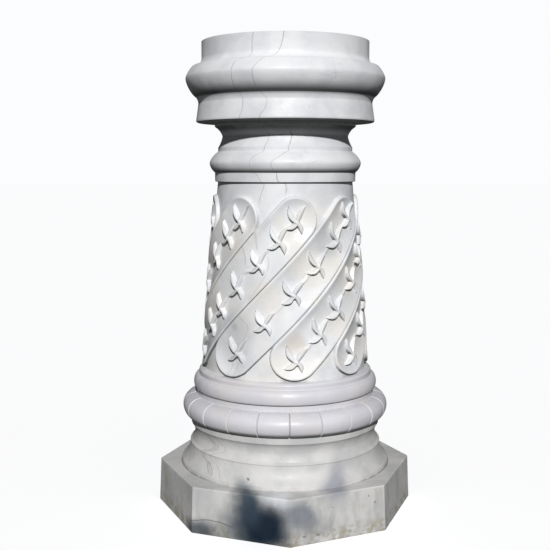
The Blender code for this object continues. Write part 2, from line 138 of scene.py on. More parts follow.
# An arm's heading is its direction on the sheet, its bow goes to the left, its ridge lies between its right
# edge (-1) and its left edge (1), and each edge stands at a share of the ridge's height
ARM_MEASURES = ("heading", "length", "bow", "half_width", "ridge", "right_edge", "left_edge")
STAR_ARMS = tuple(dict(zip(ARM_MEASURES, arm)) for arm in (
    (radians(56), 0.040, 0.0035, 0.0056, 0.30, 0.55, 0.40),
    (radians(112), 0.041, 0.0050, 0.0069, 0.35, 0.22, 0.75),
    (radians(207), 0.031, 0.0045, 0.0058, 0.30, 0.20, 0.80),
    (radians(291), 0.027, 0.0048, 0.0062, -0.10, 0.70, 0.45),
))
# How much the carver's hand strays: shares of a measure, but degrees for headings and metres for places
FIRST_SEED = 100
STRAY_SIZE = 0.03
STRAY_HEADING = 4
STRAY_LENGTH = 0.04
STRAY_WIDTH = 0.05
STRAY_BOW = 0.15
STRAY_PLACE = 0.0006
# Where the carver set the stars of the panels that face the viewer, as shares of the panels' length
STARS_SET_BY_EYE = {
    0: (0.034, 0.254, 0.468, 0.672, 0.858, 1.015),
    1: (-0.010, 0.180, 0.345, 0.540, 0.710, 0.860, 1.000),
    6: (0.000, 0.180, 0.350, 0.520, 0.715, 0.875, 0.995),
    7: (0.005, 0.205, 0.345, 0.505, 0.690, 0.853, 0.992),
}
STEM_HEIGHT = 0.0023
STEM_HALF_WIDTH = 0.0052
STEM_STEPS = 12
STEM_START = 0.80
STEM_LEAD = 0.95
STEM_END = 0.75
PANELS_WITH_FAINT_STEMS = (0, 1)
FAINT_STEM_HEIGHT = 0.0013

# Neck mouldings. Slopes are counted from level outwards and turn upwards
NECK_FASCIA_RADIUS = 0.1510
NECK_FASCIA_UNDERCUT = 0.0015
NECK_FASCIA_FLARE = 0.0003
NECK_FASCIA_HEIGHT = 0.0187
NECK_TORUS_RADIUS = 0.1625
NECK_TORUS_LOWER_HEIGHT = 0.0200
NECK_TORUS_UPPER_HEIGHT = 0.0235
NECK_TORUS_LOWER_SLOPE = radians(32)
NECK_TORUS_UPPER_SLOPE = radians(150)
NECK_TORUS_LOWER_REACH = 0.30
NECK_TORUS_UPPER_REACH = 0.25
NECK_SHOULDER_RADIUS = 0.1450
NECK_FILLET_RADIUS = 0.1440
NECK_FILLET_EASING = 0.0012
NECK_FILLET_HEIGHT = 0.0081
NECK_THROAT_RADIUS = 0.1346
NECK_HOLLOW_LOWER_HEIGHT = 0.0235
NECK_HOLLOW_UPPER_HEIGHT = 0.0155
NECK_HOLLOW_DEPTH = 0.0012
NECK_CAP_RADIUS = 0.1510
NECK_CAP_SLOPE_HEIGHT = 0.0052
NECK_CAP_HEIGHT = 0.0053

# Round capital
CAPITAL_UNDERSIDE_RISE = 0.0035
CAPITAL_FASCIA_RADIUS = 0.1912
CAPITAL_FASCIA_ROUNDING = 0.0040
CAPITAL_WAIST_RADIUS = 0.1855
CAPITAL_FASCIA_HEIGHT = 0.0385
CAPITAL_COVE_RADIUS = 0.1908
CAPITAL_COVE_HEIGHT = 0.0142
CAPITAL_COVE_HOLLOW = 0.0012
CAPITAL_TORUS_RADIUS = 0.2122
CAPITAL_TORUS_LOWER_HEIGHT = 0.0388
CAPITAL_TORUS_UPPER_HEIGHT = 0.0254
CAPITAL_TORUS_LOWER_SLOPE = radians(33)
CAPITAL_TORUS_UPPER_SLOPE = radians(155)
CAPITAL_TORUS_LOWER_REACH = 0.27
CAPITAL_TORUS_UPPER_REACH = 0.20
CAPITAL_CREST_RADIUS = 0.1965
CAPITAL_DRUM_RADIUS = 0.1780
CAPITAL_SHOULDER_HEIGHT = 0.0163
CAPITAL_DRUM_HEIGHT = 0.0345

# Slope of an upright face
PLUMB = radians(90)

# Veins, as sheets that stand steeply in the stone. A sheet's lie is x - slant * y, in the frame that faces
# the viewer, and its path gives that lie at some heights, from the lowest up
LONG_VEIN_SLANT = 1.4
LEFT_LONG_VEIN = (
    (0.656, 0.1405), (0.682, 0.1453), (0.701, 0.1515), (0.716, 0.1455), (0.738, 0.1315), (0.756, 0.1350),
    (0.772, 0.1500), (0.792, 0.1520), (0.832, 0.1450), (0.849, 0.1505), (0.876, 0.1475), (0.888, 0.1435),
    (0.906, 0.1475), (0.921, 0.1520), (0.941, 0.1530), (0.951, 0.1680), (0.969, 0.1670), (1.000, 0.1715),
)
RIGHT_LONG_VEIN = (
    (0.672, 0.2085), (0.700, 0.2055), (0.716, 0.1940), (0.736, 0.1940), (0.752, 0.2000), (0.762, 0.2080),
    (0.776, 0.2080), (0.800, 0.2020), (0.831, 0.2060), (0.846, 0.2130), (0.858, 0.2200), (0.873, 0.2170),
    (0.885, 0.2090), (0.901, 0.2130), (0.917, 0.2180), (0.934, 0.2240), (0.946, 0.2290), (0.963, 0.2370),
    (0.982, 0.2430), (1.000, 0.2470),
)
FOOT_VEIN_SLANT = 1.0
FOOT_VEINS = (
    (0.104, 0.010), (0.1126, 0.000), (0.126, -0.022), (0.139, -0.055), (0.150, -0.020), (0.1587, -0.005),
    (0.167, -0.0195), (0.175, -0.036), (0.185, -0.044),
)
FOOT_VEIN_SPACING = 0.009
PANEL_VEIN = (
    (0.360, 0.1020), (0.374, 0.1083), (0.385, 0.1176), (0.398, 0.1296), (0.412, 0.1354), (0.425, 0.1241),
    (0.438, 0.1088),
)
# Soft grey streaks in the panels on the left, one path each
SOFT_STREAKS = (
    ((0.306, 0.0690), (0.325, 0.0832), (0.333, 0.0845), (0.343, 0.0858)),
    ((0.308, 0.0965), (0.331, 0.1083), (0.343, 0.1115)),
    ((0.540, 0.1120), (0.560, 0.1110), (0.583, 0.1091)),
    ((0.570, 0.1478), (0.616, 0.1480), (0.640, 0.1440)),
    ((0.469, 0.1430), (0.501, 0.1712), (0.536, 0.1867), (0.562, 0.1755)),
)

# Wear of the plinth's edges and its roughly dressed side, which faces the viewer on the right. Chips and
# pits have two sizes each, in mm, and begin where the noise passes a level
PLINTH_ARRIS = 0.0016
CHIP_REACH = 0.007
CHIP_DEPTH = 0.0032
CHIP_SIZES = (11, 4.5)
CHIP_LEVEL = 0.42
ROUGH_SIDE = 0
ROUGH_HEIGHT = 0.026
ROUGH_DEPTH = 0.0022
PIT_SIZES = (6.5, 2.8)
PIT_LEVEL = 0.05

# Finish of the edges, and fineness of the meshes
ARRIS_ROUNDING = 0.0012
ARRIS_TURN = radians(18)
ARRIS_STEPS = 2
LONGEST_CUT = 0.45
SHARP_ANGLE = radians(42)
CURVE_STEPS = 10
ROUND_STEPS = 180
PLINTH_STEPS_PER_SIDE = 84
PLINTH_ROWS = 38
PLINTH_TOP_ROWS = 10
PLINTH_ARRIS_STEPS = 4
SHEET_PITCH = 0.0007
SHEET_TRIANGLES = 120000
SNAP_SHARE = 0.45
SNAP_STEP = 0.00001
LEAST_STEEPNESS = 0.05
MERGE_DISTANCE = 0.00001
# Vertices with edges longer than this get no groove mark for dirt mixed with painted shade
RECESS_MARK_REACH = 0.012

# The photographed side turns a little away from the plinth's corner
VIEW_TURN = radians(2.37)

# Both marbles: reach and size of their fine and broad wandering, and their reflection
FINE_WANDER = (0.0016, 0.016)
BROAD_WANDER = (0.030, 0.090)
MARBLE_SPECULAR = 0.35

# Far lights: bearing from the viewer's side towards the right, elevation, strength and width. The angles
# are in degrees
SUNS = {"key": (3, 31, 3.55, 2.0), "fill": (40, 10, 0.05, 90)}
SURROUND_STRENGTH = 0.080
BACKDROP_STRENGTH = 1.03
BACKDROP_COLOUR = "#F8F9FB"
FLOOR_HALF_WIDTH = 40.0
FLOOR_GLOW = 0.385

# Camera, fitted to the photo
CAMERA_PLACE = (-0.0827, -1.9993, 0.7375)
CAMERA_TILT = radians(83.33)
CAMERA_TURN = radians(-1.74)
CAMERA_SENSOR = 36.0
CAMERA_LENS = 60.27


class Profile:
    """Outline of a turned stretch: radius and height, followed from the bottom up by one member at a time."""

    def __init__(self, radius, height):
        self.points = [(radius, height)]
        self.roundings = {}

    def straight(self, radius, rise):
        """A fillet, a slope or a flat."""
        height = self.points[-1][1] + rise
        self.points.append((radius, height))

    def swell(self, radius, rise):
        """Quarter round that leaves level and arrives plumb. Towards the axis it is a hollow."""
        start_radius, start_height = self.points[-1]
        for step in range(1, CURVE_STEPS + 1):
            turn = pi / 2 * step / CURVE_STEPS
            self.points.append((start_radius + (radius - start_radius) * sin(turn),
                                start_height + rise * (1 - cos(turn))))

    def close_in(self, radius, rise):
        """Quarter round that leaves plumb and arrives level."""
        start_radius, start_height = self.points[-1]
        for step in range(1, CURVE_STEPS + 1):
            turn = pi / 2 * step / CURVE_STEPS
            self.points.append((start_radius + (radius - start_radius) * (1 - cos(turn)),
                                start_height + rise * sin(turn)))

    def bend(self, radius, rise, leaving, arriving, reach):
        """Curve that leaves and arrives at given slopes. A longer reach keeps nearer to those slopes."""
        start = Vector(self.points[-1])
        end = Vector((radius, start.y + rise))
        hold = (end - start).length * reach
        leave = start + hold * Vector((cos(leaving), sin(leaving)))
        arrive = end - hold * Vector((cos(arriving), sin(arriving)))
        for step in range(1, CURVE_STEPS + 1):
            share = step / CURVE_STEPS
            rest = 1 - share
            self.points.append(tuple(rest ** 3 * start + 3 * rest ** 2 * share * leave
                                     + 3 * rest * share ** 2 * arrive + share ** 3 * end))

    def arc(self, radius, rise, bulge):
        """Part of a circle whose middle stands out from its chord by bulge. A bulge below 0 is a hollow."""
        start_radius, start_height = self.points[-1]
        half_chord = hypot(radius - start_radius, rise) / 2
        circle = (half_chord ** 2 + bulge ** 2) / (2 * abs(bulge))
        side = 1 if bulge > 0 else -1
        out_radius, out_height = rise / (2 * half_chord), (start_radius - radius) / (2 * half_chord)
        back = side * (circle - abs(bulge))
        centre_radius = (start_radius + radius) / 2 - out_radius * back
        centre_height = start_height + rise / 2 - out_height * back
        first = atan2(start_height - centre_height, start_radius - centre_radius)
        sweep = 2 * asin(half_chord / circle)
        for step in range(1, CURVE_STEPS + 1):
            turn = first + side * sweep * step / CURVE_STEPS
            self.points.append((centre_radius + circle * cos(turn), centre_height + circle * sin(turn)))

    def round_here(self, rounding):
        """The corner just reached is rounded more than the others."""
        self.roundings[self.points[-1]] = rounding

    def softened(self):
        """The outline with each arris and quirk eased by a small curve, as rasp and polish leave them."""
        eased = [self.points[0]]
        for before, corner, after in zip(self.points, self.points[1:], self.points[2:]):
            come = Vector(corner) - Vector(before)
            go = Vector(after) - Vector(corner)
            if come.angle(go) < ARRIS_TURN:
                eased.append(corner)
                continue
            rounding = self.roundings.get(corner, ARRIS_ROUNDING)
            cut = min(rounding * tan(come.angle(go) / 2), come.length * LONGEST_CUT, go.length * LONGEST_CUT)
            start = Vector(corner) - come.normalized() * cut
            end = Vector(corner) + go.normalized() * cut
            for step in range(ARRIS_STEPS + 1):
                share = step / ARRIS_STEPS
                halfway = start.lerp(Vector(corner), share)
                eased.append(tuple(halfway.lerp(Vector(corner).lerp(end, share), share)))
        eased.append(self.points[-1])
        return eased


def foot_profile():
    """Mouldings on the plinth, from the edge band up to the seat of the shaft stone."""
    foot = Profile(FOOT_BAND_RADIUS, PLINTH_HEIGHT)
    foot.straight(FOOT_BAND_RADIUS, FOOT_BAND_HEIGHT)
    foot.straight(FOOT_BAND_RADIUS - FOOT_BAND_EASING, FOOT_BAND_EASING)
    foot.arc(APRON_TOP_RADIUS, APRON_HEIGHT, -APRON_HOLLOW)
    foot.straight(LIP_RADIUS, LIP_EDGE_HEIGHT)
    foot.straight(LIP_TOP_RADIUS, LIP_TOP_HEIGHT)
    foot.arc(SCOTIA_THROAT_RADIUS, SCOTIA_LOWER_HEIGHT, -SCOTIA_LOWER_HOLLOW)
    foot.arc(SEAT_RADIUS, SCOTIA_UPPER_HEIGHT, -SCOTIA_UPPER_HOLLOW)
    foot.straight(SEAT_RADIUS, SEAT_HEIGHT)
    return foot


def lobed_torus_profile():
    torus = Profile(SEAT_RADIUS + LOBED_TORUS_OVERHANG, foot_profile().points[-1][1] + JOINT_GAP)
    torus.swell(LOBED_TORUS_RADIUS, LOBED_TORUS_LOWER_HEIGHT)
    torus.close_in(COLLAR_RADIUS, LOBED_TORUS_UPPER_HEIGHT)
    return torus


def collar_profile():
    """Fillet, small torus and bead, up to the foot of the shaft."""
    collar = Profile(*lobed_torus_profile().points[-1])
    collar.straight(COLLAR_RADIUS, COLLAR_HEIGHT)
    collar.swell(SMALL_TORUS_RADIUS, SMALL_TORUS_LOWER_HEIGHT)
    collar.close_in(BEAD_RADIUS + BEAD_QUIRK, SMALL_TORUS_UPPER_HEIGHT)
    collar.straight(BEAD_RADIUS, BEAD_QUIRK)
    collar.straight(BEAD_RADIUS, BEAD_HEIGHT)
    collar.close_in(SHAFT_FOOT_RADIUS, BEAD_EASING)
    return collar


def head_profile():
    """Neck mouldings and capital, from the head of the shaft to the top."""
    head = Profile(SHAFT_HEAD_RADIUS, SHAFT_HEAD)
    head.straight(NECK_FASCIA_RADIUS, NECK_FASCIA_UNDERCUT)
    head.straight(NECK_FASCIA_RADIUS + NECK_FASCIA_FLARE, NECK_FASCIA_HEIGHT)
    head.bend(NECK_TORUS_RADIUS, NECK_TORUS_LOWER_HEIGHT, NECK_TORUS_LOWER_SLOPE, PLUMB,
              NECK_TORUS_LOWER_REACH)
    head.bend(NECK_SHOULDER_RADIUS, NECK_TORUS_UPPER_HEIGHT, PLUMB, NECK_TORUS_UPPER_SLOPE,
              NECK_TORUS_UPPER_REACH)
    head.straight(NECK_FILLET_RADIUS, NECK_FILLET_EASING)
    head.straight(NECK_FILLET_RADIUS, NECK_FILLET_HEIGHT)
    head.arc(NECK_THROAT_RADIUS, NECK_HOLLOW_LOWER_HEIGHT, -NECK_HOLLOW_DEPTH)
    head.arc(NECK_FILLET_RADIUS, NECK_HOLLOW_UPPER_HEIGHT, -NECK_HOLLOW_DEPTH)
    head.straight(NECK_CAP_RADIUS, NECK_CAP_SLOPE_HEIGHT)
    head.straight(NECK_CAP_RADIUS, NECK_CAP_HEIGHT)
    head.straight(CAPITAL_FASCIA_RADIUS, CAPITAL_UNDERSIDE_RISE)
    head.round_here(CAPITAL_FASCIA_ROUNDING)
    head.straight(CAPITAL_WAIST_RADIUS, CAPITAL_FASCIA_HEIGHT)
    head.arc(CAPITAL_COVE_RADIUS, CAPITAL_COVE_HEIGHT, -CAPITAL_COVE_HOLLOW)
    head.bend(CAPITAL_TORUS_RADIUS, CAPITAL_TORUS_LOWER_HEIGHT, CAPITAL_TORUS_LOWER_SLOPE, PLUMB,
              CAPITAL_TORUS_LOWER_REACH)
    head.bend(CAPITAL_CREST_RADIUS, CAPITAL_TORUS_UPPER_HEIGHT, PLUMB, CAPITAL_TORUS_UPPER_SLOPE,
              CAPITAL_TORUS_UPPER_REACH)
    head.swell(CAPITAL_DRUM_RADIUS, CAPITAL_SHOULDER_HEIGHT)
    head.straight(CAPITAL_DRUM_RADIUS, CAPITAL_DRUM_HEIGHT)
    return head


SHAFT_FOOT = collar_profile().points[-1][1]
SHAFT_HEAD = SHAFT_FOOT + SHAFT_HEIGHT
SHEET_RADIUS = (SHAFT_FOOT_RADIUS + SHAFT_HEAD_RADIUS) / 2
PANEL_SPACING = 2 * pi * SHEET_RADIUS / PANEL_COUNT
PANEL_RADIUS = PANEL_SPACING / 2 * cos(PANEL_LEAN)
PANEL_LOW = SHAFT_FOOT + PANEL_FOOT_MARGIN + PANEL_RADIUS
PANEL_HIGH = SHAFT_HEAD - PANEL_HEAD_MARGIN - PANEL_RADIUS
PANEL_MIDDLE = (PANEL_LOW + PANEL_HIGH) / 2


def panel_line(height):
    """How far a panel's centre line has gone round the sheet at a height."""
    return (height - PANEL_MIDDLE) * tan(PANEL_LEAN)


def distance_to_line(start, end, x, y):
    """Shortest distance from points to a straight line between two places."""
    along = end - start
    share = np.clip(((x - start[0]) * along[0] + (y - start[1]) * along[1]) / (along @ along), 0, 1)
    return np.hypot(x - start[0] - share * along[0], y - start[1] - share * along[1])


def inset(x, y):
    """Distances of points on the sheet inwards from the nearest panel's outline."""
    low = np.array((panel_line(PANEL_LOW), PANEL_LOW))
    high = np.array((panel_line(PANEL_HIGH), PANEL_HIGH))
    deepest = np.full(np.shape(x), -1.0)
    for shift in (-PANEL_SPACING, 0, PANEL_SPACING):
        deepest = np.maximum(deepest, PANEL_RADIUS - distance_to_line(low, high, x + shift, y))
    return deepest


def smooth_step(values):
    """0 up to 0, 1 from 1, and an even curve between."""
    held = np.clip(values, 0, 1)
    return held * held * (3 - 2 * held)


def smooth_most(first, second, blend):
    """The greater of two values, with a soft passage where they are nearly equal."""
    near = np.clip(0.5 + 0.5 * (first - second) / blend, 0, 1)
    return second + (first - second) * near + blend * near * (1 - near)


def ground(x, y):
    """Height of the bare shaft, rim and flute over the shaft's own surface."""
    depth_in = inset(x, y)
    wall = RIM_FOOT * smooth_step((depth_in + RIM_WALL) / RIM_WALL)
    to_crest = np.clip(depth_in / RIM_HALF_WIDTH, 0, 1)
    bead = wall + (RIM_CREST - RIM_FOOT) * np.sqrt(1 - (1 - to_crest) ** 2)
    share = np.clip((PANEL_RADIUS - depth_in) / (PANEL_RADIUS - RIM_HALF_WIDTH), 0, 1.2)
    flute = FLUTE_FLOOR + (RIM_CREST - FLUTE_FLOOR) * share ** FLUTE_FULLNESS
    return -smooth_most(-bead, -flute, RIM_BLEND)


def arm_fields(arm, x, y):
    """How far points lie inside an arm's leaf outline, and the height of its top surface."""
    forward = np.array((cos(arm["heading"]), sin(arm["heading"])))
    share = (x * forward[0] + y * forward[1]) / arm["length"]
    held = np.clip(share, 0, 1)
    side = y * forward[0] - x * forward[1] - arm["bow"] * 4 * held * (1 - held)
    from_hub = np.hypot(x, y)
    side = np.where(share < 0, np.copysign(from_hub, side), side)
    hub = STAR_HUB_HALF_WIDTH / arm["half_width"]
    rising = hub + (1 - hub) * np.sin(np.clip(held / STAR_BROADEST_SHARE, 0, 1) * pi / 2)
    late = np.clip((held - STAR_BROADEST_SHARE) / (1 - STAR_BROADEST_SHARE), 0, 1)
    width = arm["half_width"] * rising * (1 - late) ** ARM_TAPER * (1 + ARM_TAPER * late)
    past_tip = np.maximum(share - 1, 0) * arm["length"]
    inside = width - np.abs(side) - past_tip
    place = side / np.maximum(width, ARM_LEAST_WIDTH)
    towards_left = place > arm["ridge"]
    off_ridge = np.abs(place - arm["ridge"]) / np.where(towards_left, 1 - arm["ridge"], 1 + arm["ridge"])
    edge = np.where(towards_left, arm["left_edge"], arm["right_edge"])
    crest = STAR_HEIGHT + (STAR_TIP_HEIGHT - STAR_HEIGHT) * held ** CREST_FALL
    top = crest * (1 - (1 - edge) * np.minimum(off_ridge, 3) ** BLADE_FALL) - past_tip
    return inside, top


def star_fields(star, x, y):
    """How far points lie inside a star, and the height of its top surface."""
    inside = np.full(x.shape, -1.0)
    top = np.full(x.shape, -1.0)
    for arm in star["arms"]:
        arm_inside, arm_top = arm_fields(arm, x - star["x"], y - star["y"])
        inside = smooth_most(inside, arm_inside, STAR_WEB)
        top = smooth_most(top, arm_top, STAR_WEB)
    return inside, top


def wall_width(star, x, y, inside):
    """How broadly a star falls to its ground: steeply to the lower left, and gently to the upper right."""
    right = star_fields(star, x + SLOPE_STEP, y)[0] - inside
    up = star_fields(star, x, y + SLOPE_STEP)[0] - inside
    towards = -(right + up) / np.maximum(np.hypot(right, up) * sqrt(2), 1e-9)
    softness = smooth_step((towards - SOFT_WALL_START) / SOFT_WALL_SPAN)
    return STAR_WALL + (STAR_SOFT_WALL - STAR_WALL) * softness


def carve_stars(number):
    """One panel's stars, each a little different, as a hand leaves them."""
    chance = np.random.default_rng(FIRST_SEED + number)
    even = [at / (STARS_PER_PANEL - 1) for at in range(STARS_PER_PANEL)]
    shares = STARS_SET_BY_EYE.get(number, [share + STAR_CROWDING * share * (1 - share) for share in even])
    stars = []
    for share in shares:
        height = PANEL_LOW + (PANEL_HIGH - PANEL_LOW) * share
        size = 1 + chance.normal(0, STRAY_SIZE)
        arms = []
        for arm in STAR_ARMS:
            own = dict(arm)
            own["heading"] += radians(chance.normal(0, STRAY_HEADING))
            own["length"] *= size * (1 + chance.normal(0, STRAY_LENGTH))
            own["half_width"] *= size * (1 + chance.normal(0, STRAY_WIDTH))
            own["bow"] *= 1 + chance.normal(0, STRAY_BOW)
            arms.append(own)
        x = panel_line(height) + STAR_OFFSET * cos(PANEL_LEAN) + chance.normal(0, STRAY_PLACE)
        y = height - STAR_OFFSET * sin(PANEL_LEAN) + chance.normal(0, STRAY_PLACE)
        stars.append({"x": x, "y": y, "arms": arms})
    return stars


def arm_point(star, arm, share):
    """Point on an arm's middle line."""
    forward = np.array((cos(arm["heading"]), sin(arm["heading"])))
    left = np.array((-forward[1], forward[0]))
    hub = np.array((star["x"], star["y"]))
    return hub + forward * arm["length"] * share + left * arm["bow"] * 4 * share * (1 - share)


def stems(stars):
    """Vine stems of a panel. Each runs from one star's right arm up to the left arm of the next."""
    paths = []
    for lower, upper in zip(stars, stars[1:]):
        start = arm_point(lower, lower["arms"][0], STEM_START)
        lead = arm_point(lower, lower["arms"][0], STEM_LEAD) - start
        end = arm_point(upper, upper["arms"][2], STEM_END)
        bend = start + lead * np.linalg.norm(end - start) / np.linalg.norm(lead) * 0.5
        shares = np.linspace(0, 1, STEM_STEPS)[:, None]
        paths.append((1 - shares) ** 2 * start + 2 * shares * (1 - shares) * bend + shares ** 2 * end)
    return paths


def distance_to_path(path, x, y):
    """Shortest distance from points to a path."""
    nearest = np.full(x.shape, 1.0)
    for start, end in zip(path, path[1:]):
        nearest = np.minimum(nearest, distance_to_line(start, end, x, y))
    return nearest


def snapped(field, x, y, levels, reach):
    """Points that lie within reach of a level of the field are drawn onto it, so its edge is crisp."""
    value = field(x, y)
    slope_x = (field(x + SNAP_STEP, y) - value) / SNAP_STEP
    slope_y = (field(x, y + SNAP_STEP) - value) / SNAP_STEP
    steepness = np.maximum(slope_x ** 2 + slope_y ** 2, LEAST_STEEPNESS)
    for level in levels:
        away = level - value
        near = np.abs(away) < reach * np.sqrt(steepness)
        x = np.where(near, x + away * slope_x / steepness, x)
        y = np.where(near, y + away * slope_y / steepness, y)
    return x, y


def panel_columns():
    """Offsets of the sheet's columns from a panel share's left border, close together at the borders."""
    edge = [away / cos(PANEL_LEAN) for away in BORDER_COLUMNS]
    count = ceil((PANEL_SPACING - 2 * edge[-1]) / SHEET_PITCH)
    inner = np.linspace(edge[-1], PANEL_SPACING - edge[-1], count + 1)[1:-1]
    return np.array([*edge, *inner, *[PANEL_SPACING - away for away in reversed(edge)]])


def carve_panel(number):
    """Grid of points over one panel's share of the sheet: place round the shaft, height, and relief."""
    rows = ceil(SHAFT_HEIGHT / SHEET_PITCH)
    heights = np.linspace(SHAFT_FOOT, SHAFT_HEAD, rows + 1)
    columns = panel_columns()
    y = np.repeat(heights[:, None], len(columns), axis=1)
    x = panel_line(y) + columns - PANEL_SPACING / 2
    gaps = np.diff(columns)
    reach = SNAP_SHARE * cos(PANEL_LEAN) * np.minimum(np.append(gaps, gaps[-1]), np.insert(gaps, 0, gaps[0]))
    reach = np.broadcast_to(reach, x.shape)
    inner = (slice(1, -1), slice(1, -1))
    x[inner], y[inner] = snapped(inset, x[inner], y[inner], (-RIM_WALL, 0, RIM_HALF_WIDTH), reach[inner])
    stars = carve_stars(number)
    for star in stars:
        near = np.hypot(x - star["x"], y - star["y"]) < STAR_REACH
        near[0] = near[-1] = False
        near[:, 0] = near[:, -1] = False
        x[near], y[near] = snapped(lambda u, v: star_fields(star, u, v)[0], x[near], y[near],
                                   (0, STAR_WALL), reach[near])
    relief = ground(x, y)
    raised = np.zeros(x.shape)
    stem_height = FAINT_STEM_HEIGHT if number in PANELS_WITH_FAINT_STEMS else STEM_HEIGHT
    for path in stems(stars):
        share = np.clip(1 - (distance_to_path(path, x, y) / STEM_HALF_WIDTH) ** 2, 0, 1)
        raised = np.maximum(raised, stem_height * share ** 2)
    for star in stars:
        near = np.hypot(x - star["x"], y - star["y"]) < STAR_REACH
        inside, top = star_fields(star, x[near], y[near])
        wall = smooth_step(inside / wall_width(star, x[near], y[near], inside))
        raised[near] = np.maximum(raised[near], np.maximum(top, STAR_LEAST_HEIGHT) * wall)
    return x, y, relief + raised


def grid_mesh(name, x, y, z):
    """Mesh of quads over a grid of points, with each quad's corners in even order."""
    rows, columns = x.shape
    mesh = bpy.data.meshes.new(name)
    at = np.arange(rows * columns).reshape(rows, columns)
    faces = np.stack((at[:-1, :-1], at[:-1, 1:], at[1:, 1:], at[1:, :-1]), axis=-1).reshape(-1, 4)
    mesh.vertices.add(rows * columns)
    mesh.vertices.foreach_set("co", np.stack((x, y, z), axis=-1).astype(np.float32).ravel())
    mesh.loops.add(faces.size)
    mesh.loops.foreach_set("vertex_index", faces.astype(np.int32).ravel())
    mesh.polygons.add(len(faces))
    mesh.polygons.foreach_set("loop_start", np.arange(0, faces.size, 4, dtype=np.int32))
    mesh.update(calc_edges=True)
    return mesh


def carved_sheet():
    """All the panels side by side on one flat sheet, with their relief along Z."""
    panels = [carve_panel(number) for number in range(PANEL_COUNT)]
    for number, panel in enumerate(panels):
        panel[0][...] += number * PANEL_SPACING
    x, y, z = (np.concatenate([panel[axis][:, :-1] for panel in panels] + [panels[-1][axis][:, -1:]], axis=1)
               for axis in range(3))
    return grid_mesh("carved_sheet", x, y, z)


def add(tree, kind, settings=None, inputs=None):
    """Add a node with its settings, and link or set its inputs."""
    node = tree.nodes.new(kind)
    for name, value in (settings or {}).items():
        setattr(node, name, value)
    for name, value in (inputs or {}).items():
        socket = node.inputs[name]
        if isinstance(value, bpy.types.NodeSocket):
            tree.links.new(value, socket)
        elif isinstance(value, bpy.types.Node):
            tree.links.new(value.outputs[0], socket)
        else:
            socket.default_value = value
    return node


def work_out(tree, operation, *terms):
    """Arithmetic on one, two or three terms."""
    return add(tree, "ShaderNodeMath", {"operation": operation}, dict(enumerate(terms)))


def axes(tree, place):
    """X, Y and Z of a place."""
    return add(tree, "ShaderNodeSeparateXYZ", inputs={0: place}).outputs


def new_shape_tree(name, *labels):
    """Empty tree of geometry nodes with named inputs. Returns the tree and what comes in."""
    tree = bpy.data.node_groups.new(name, "GeometryNodeTree")
    kinds = {"Shape": "Geometry", "Count": "Int", "Steps": "Int", "Stone": "Material"}
    for label in ("Shape", *labels):
        kind = "NodeSocket" + kinds.get(label, "Float")
        tree.interface.new_socket(name=label, in_out="INPUT", socket_type=kind)
    tree.interface.new_socket(name="Shape", in_out="OUTPUT", socket_type="NodeSocketGeometry")
    return tree, add(tree, "NodeGroupInput").outputs


def close_shape_tree(tree, start, shape):
    """End a tree: instances made real, meeting corners joined where a seam is given, and the stone set."""
    shape = add(tree, "GeometryNodeRealizeInstances", inputs={"Geometry": shape})
    if "Seam" in start:
        shape = add(tree, "GeometryNodeMergeByDistance",
                    inputs={"Geometry": shape, "Distance": start["Seam"]})
    dressed = add(tree, "GeometryNodeSetMaterial", inputs={"Geometry": shape, "Material": start["Stone"]})
    add(tree, "NodeGroupOutput", inputs={"Shape": dressed})
    return tree


def rolling_tree():
    """Rolls the flat carved sheet round the tapering shaft. Relief along Z becomes height over the shaft."""
    tree, start = new_shape_tree(
        "roll_sheet_round_shaft", "Foot radius", "Head radius", "Entasis", "Foot height", "Shaft height",
        "Sheet radius", "Turn", "Seam", "Stone")
    run, height, relief = axes(tree, add(tree, "GeometryNodeInputPosition"))
    risen = work_out(tree, "SUBTRACT", height, start["Foot height"])
    share = work_out(tree, "DIVIDE", risen, start["Shaft height"])
    taper = add(tree, "ShaderNodeMapRange", {"clamp": False},
                {"Value": share, "To Min": start["Foot radius"], "To Max": start["Head radius"]})
    swelling = work_out(tree, "MULTIPLY", share, work_out(tree, "SUBTRACT", 1.0, share))
    fourfold = work_out(tree, "MULTIPLY", swelling, 4.0)
    bare = work_out(tree, "MULTIPLY_ADD", fourfold, start["Entasis"], taper)
    radius = work_out(tree, "ADD", bare, relief)
    round_by = work_out(tree, "DIVIDE", run, start["Sheet radius"])
    angle = work_out(tree, "ADD", round_by, start["Turn"])
    to_right = work_out(tree, "MULTIPLY", radius, work_out(tree, "SINE", angle))
    to_back = work_out(tree, "MULTIPLY", radius, work_out(tree, "COSINE", angle))
    to_front = work_out(tree, "MULTIPLY", to_back, -1.0)
    rolled = add(tree, "ShaderNodeCombineXYZ", inputs={"X": to_right, "Y": to_front, "Z": height})
    moved = add(tree, "GeometryNodeSetPosition", inputs={"Geometry": start["Shape"], "Position": rolled})
    return close_shape_tree(tree, start, moved)


def repeating_tree():
    """Sets copies of one lobe round the column's axis and joins them into a whole torus."""
    tree, start = new_shape_tree("set_lobes_round_axis", "Count", "Turn", "Seam", "Stone")
    places = add(tree, "GeometryNodeMeshLine", {"mode": "OFFSET"},
                 {"Count": start["Count"], "Offset": (0.0, 0.0, 0.0)})
    step = work_out(tree, "DIVIDE", 2 * pi, start["Count"])
    angle = work_out(tree, "MULTIPLY_ADD", add(tree, "GeometryNodeInputIndex"), step, start["Turn"])
    turned = add(tree, "ShaderNodeCombineXYZ", inputs={"Z": angle})
    copies = add(tree, "GeometryNodeInstanceOnPoints",
                 inputs={"Points": places, "Instance": start["Shape"], "Rotation": turned})
    return close_shape_tree(tree, start, copies)


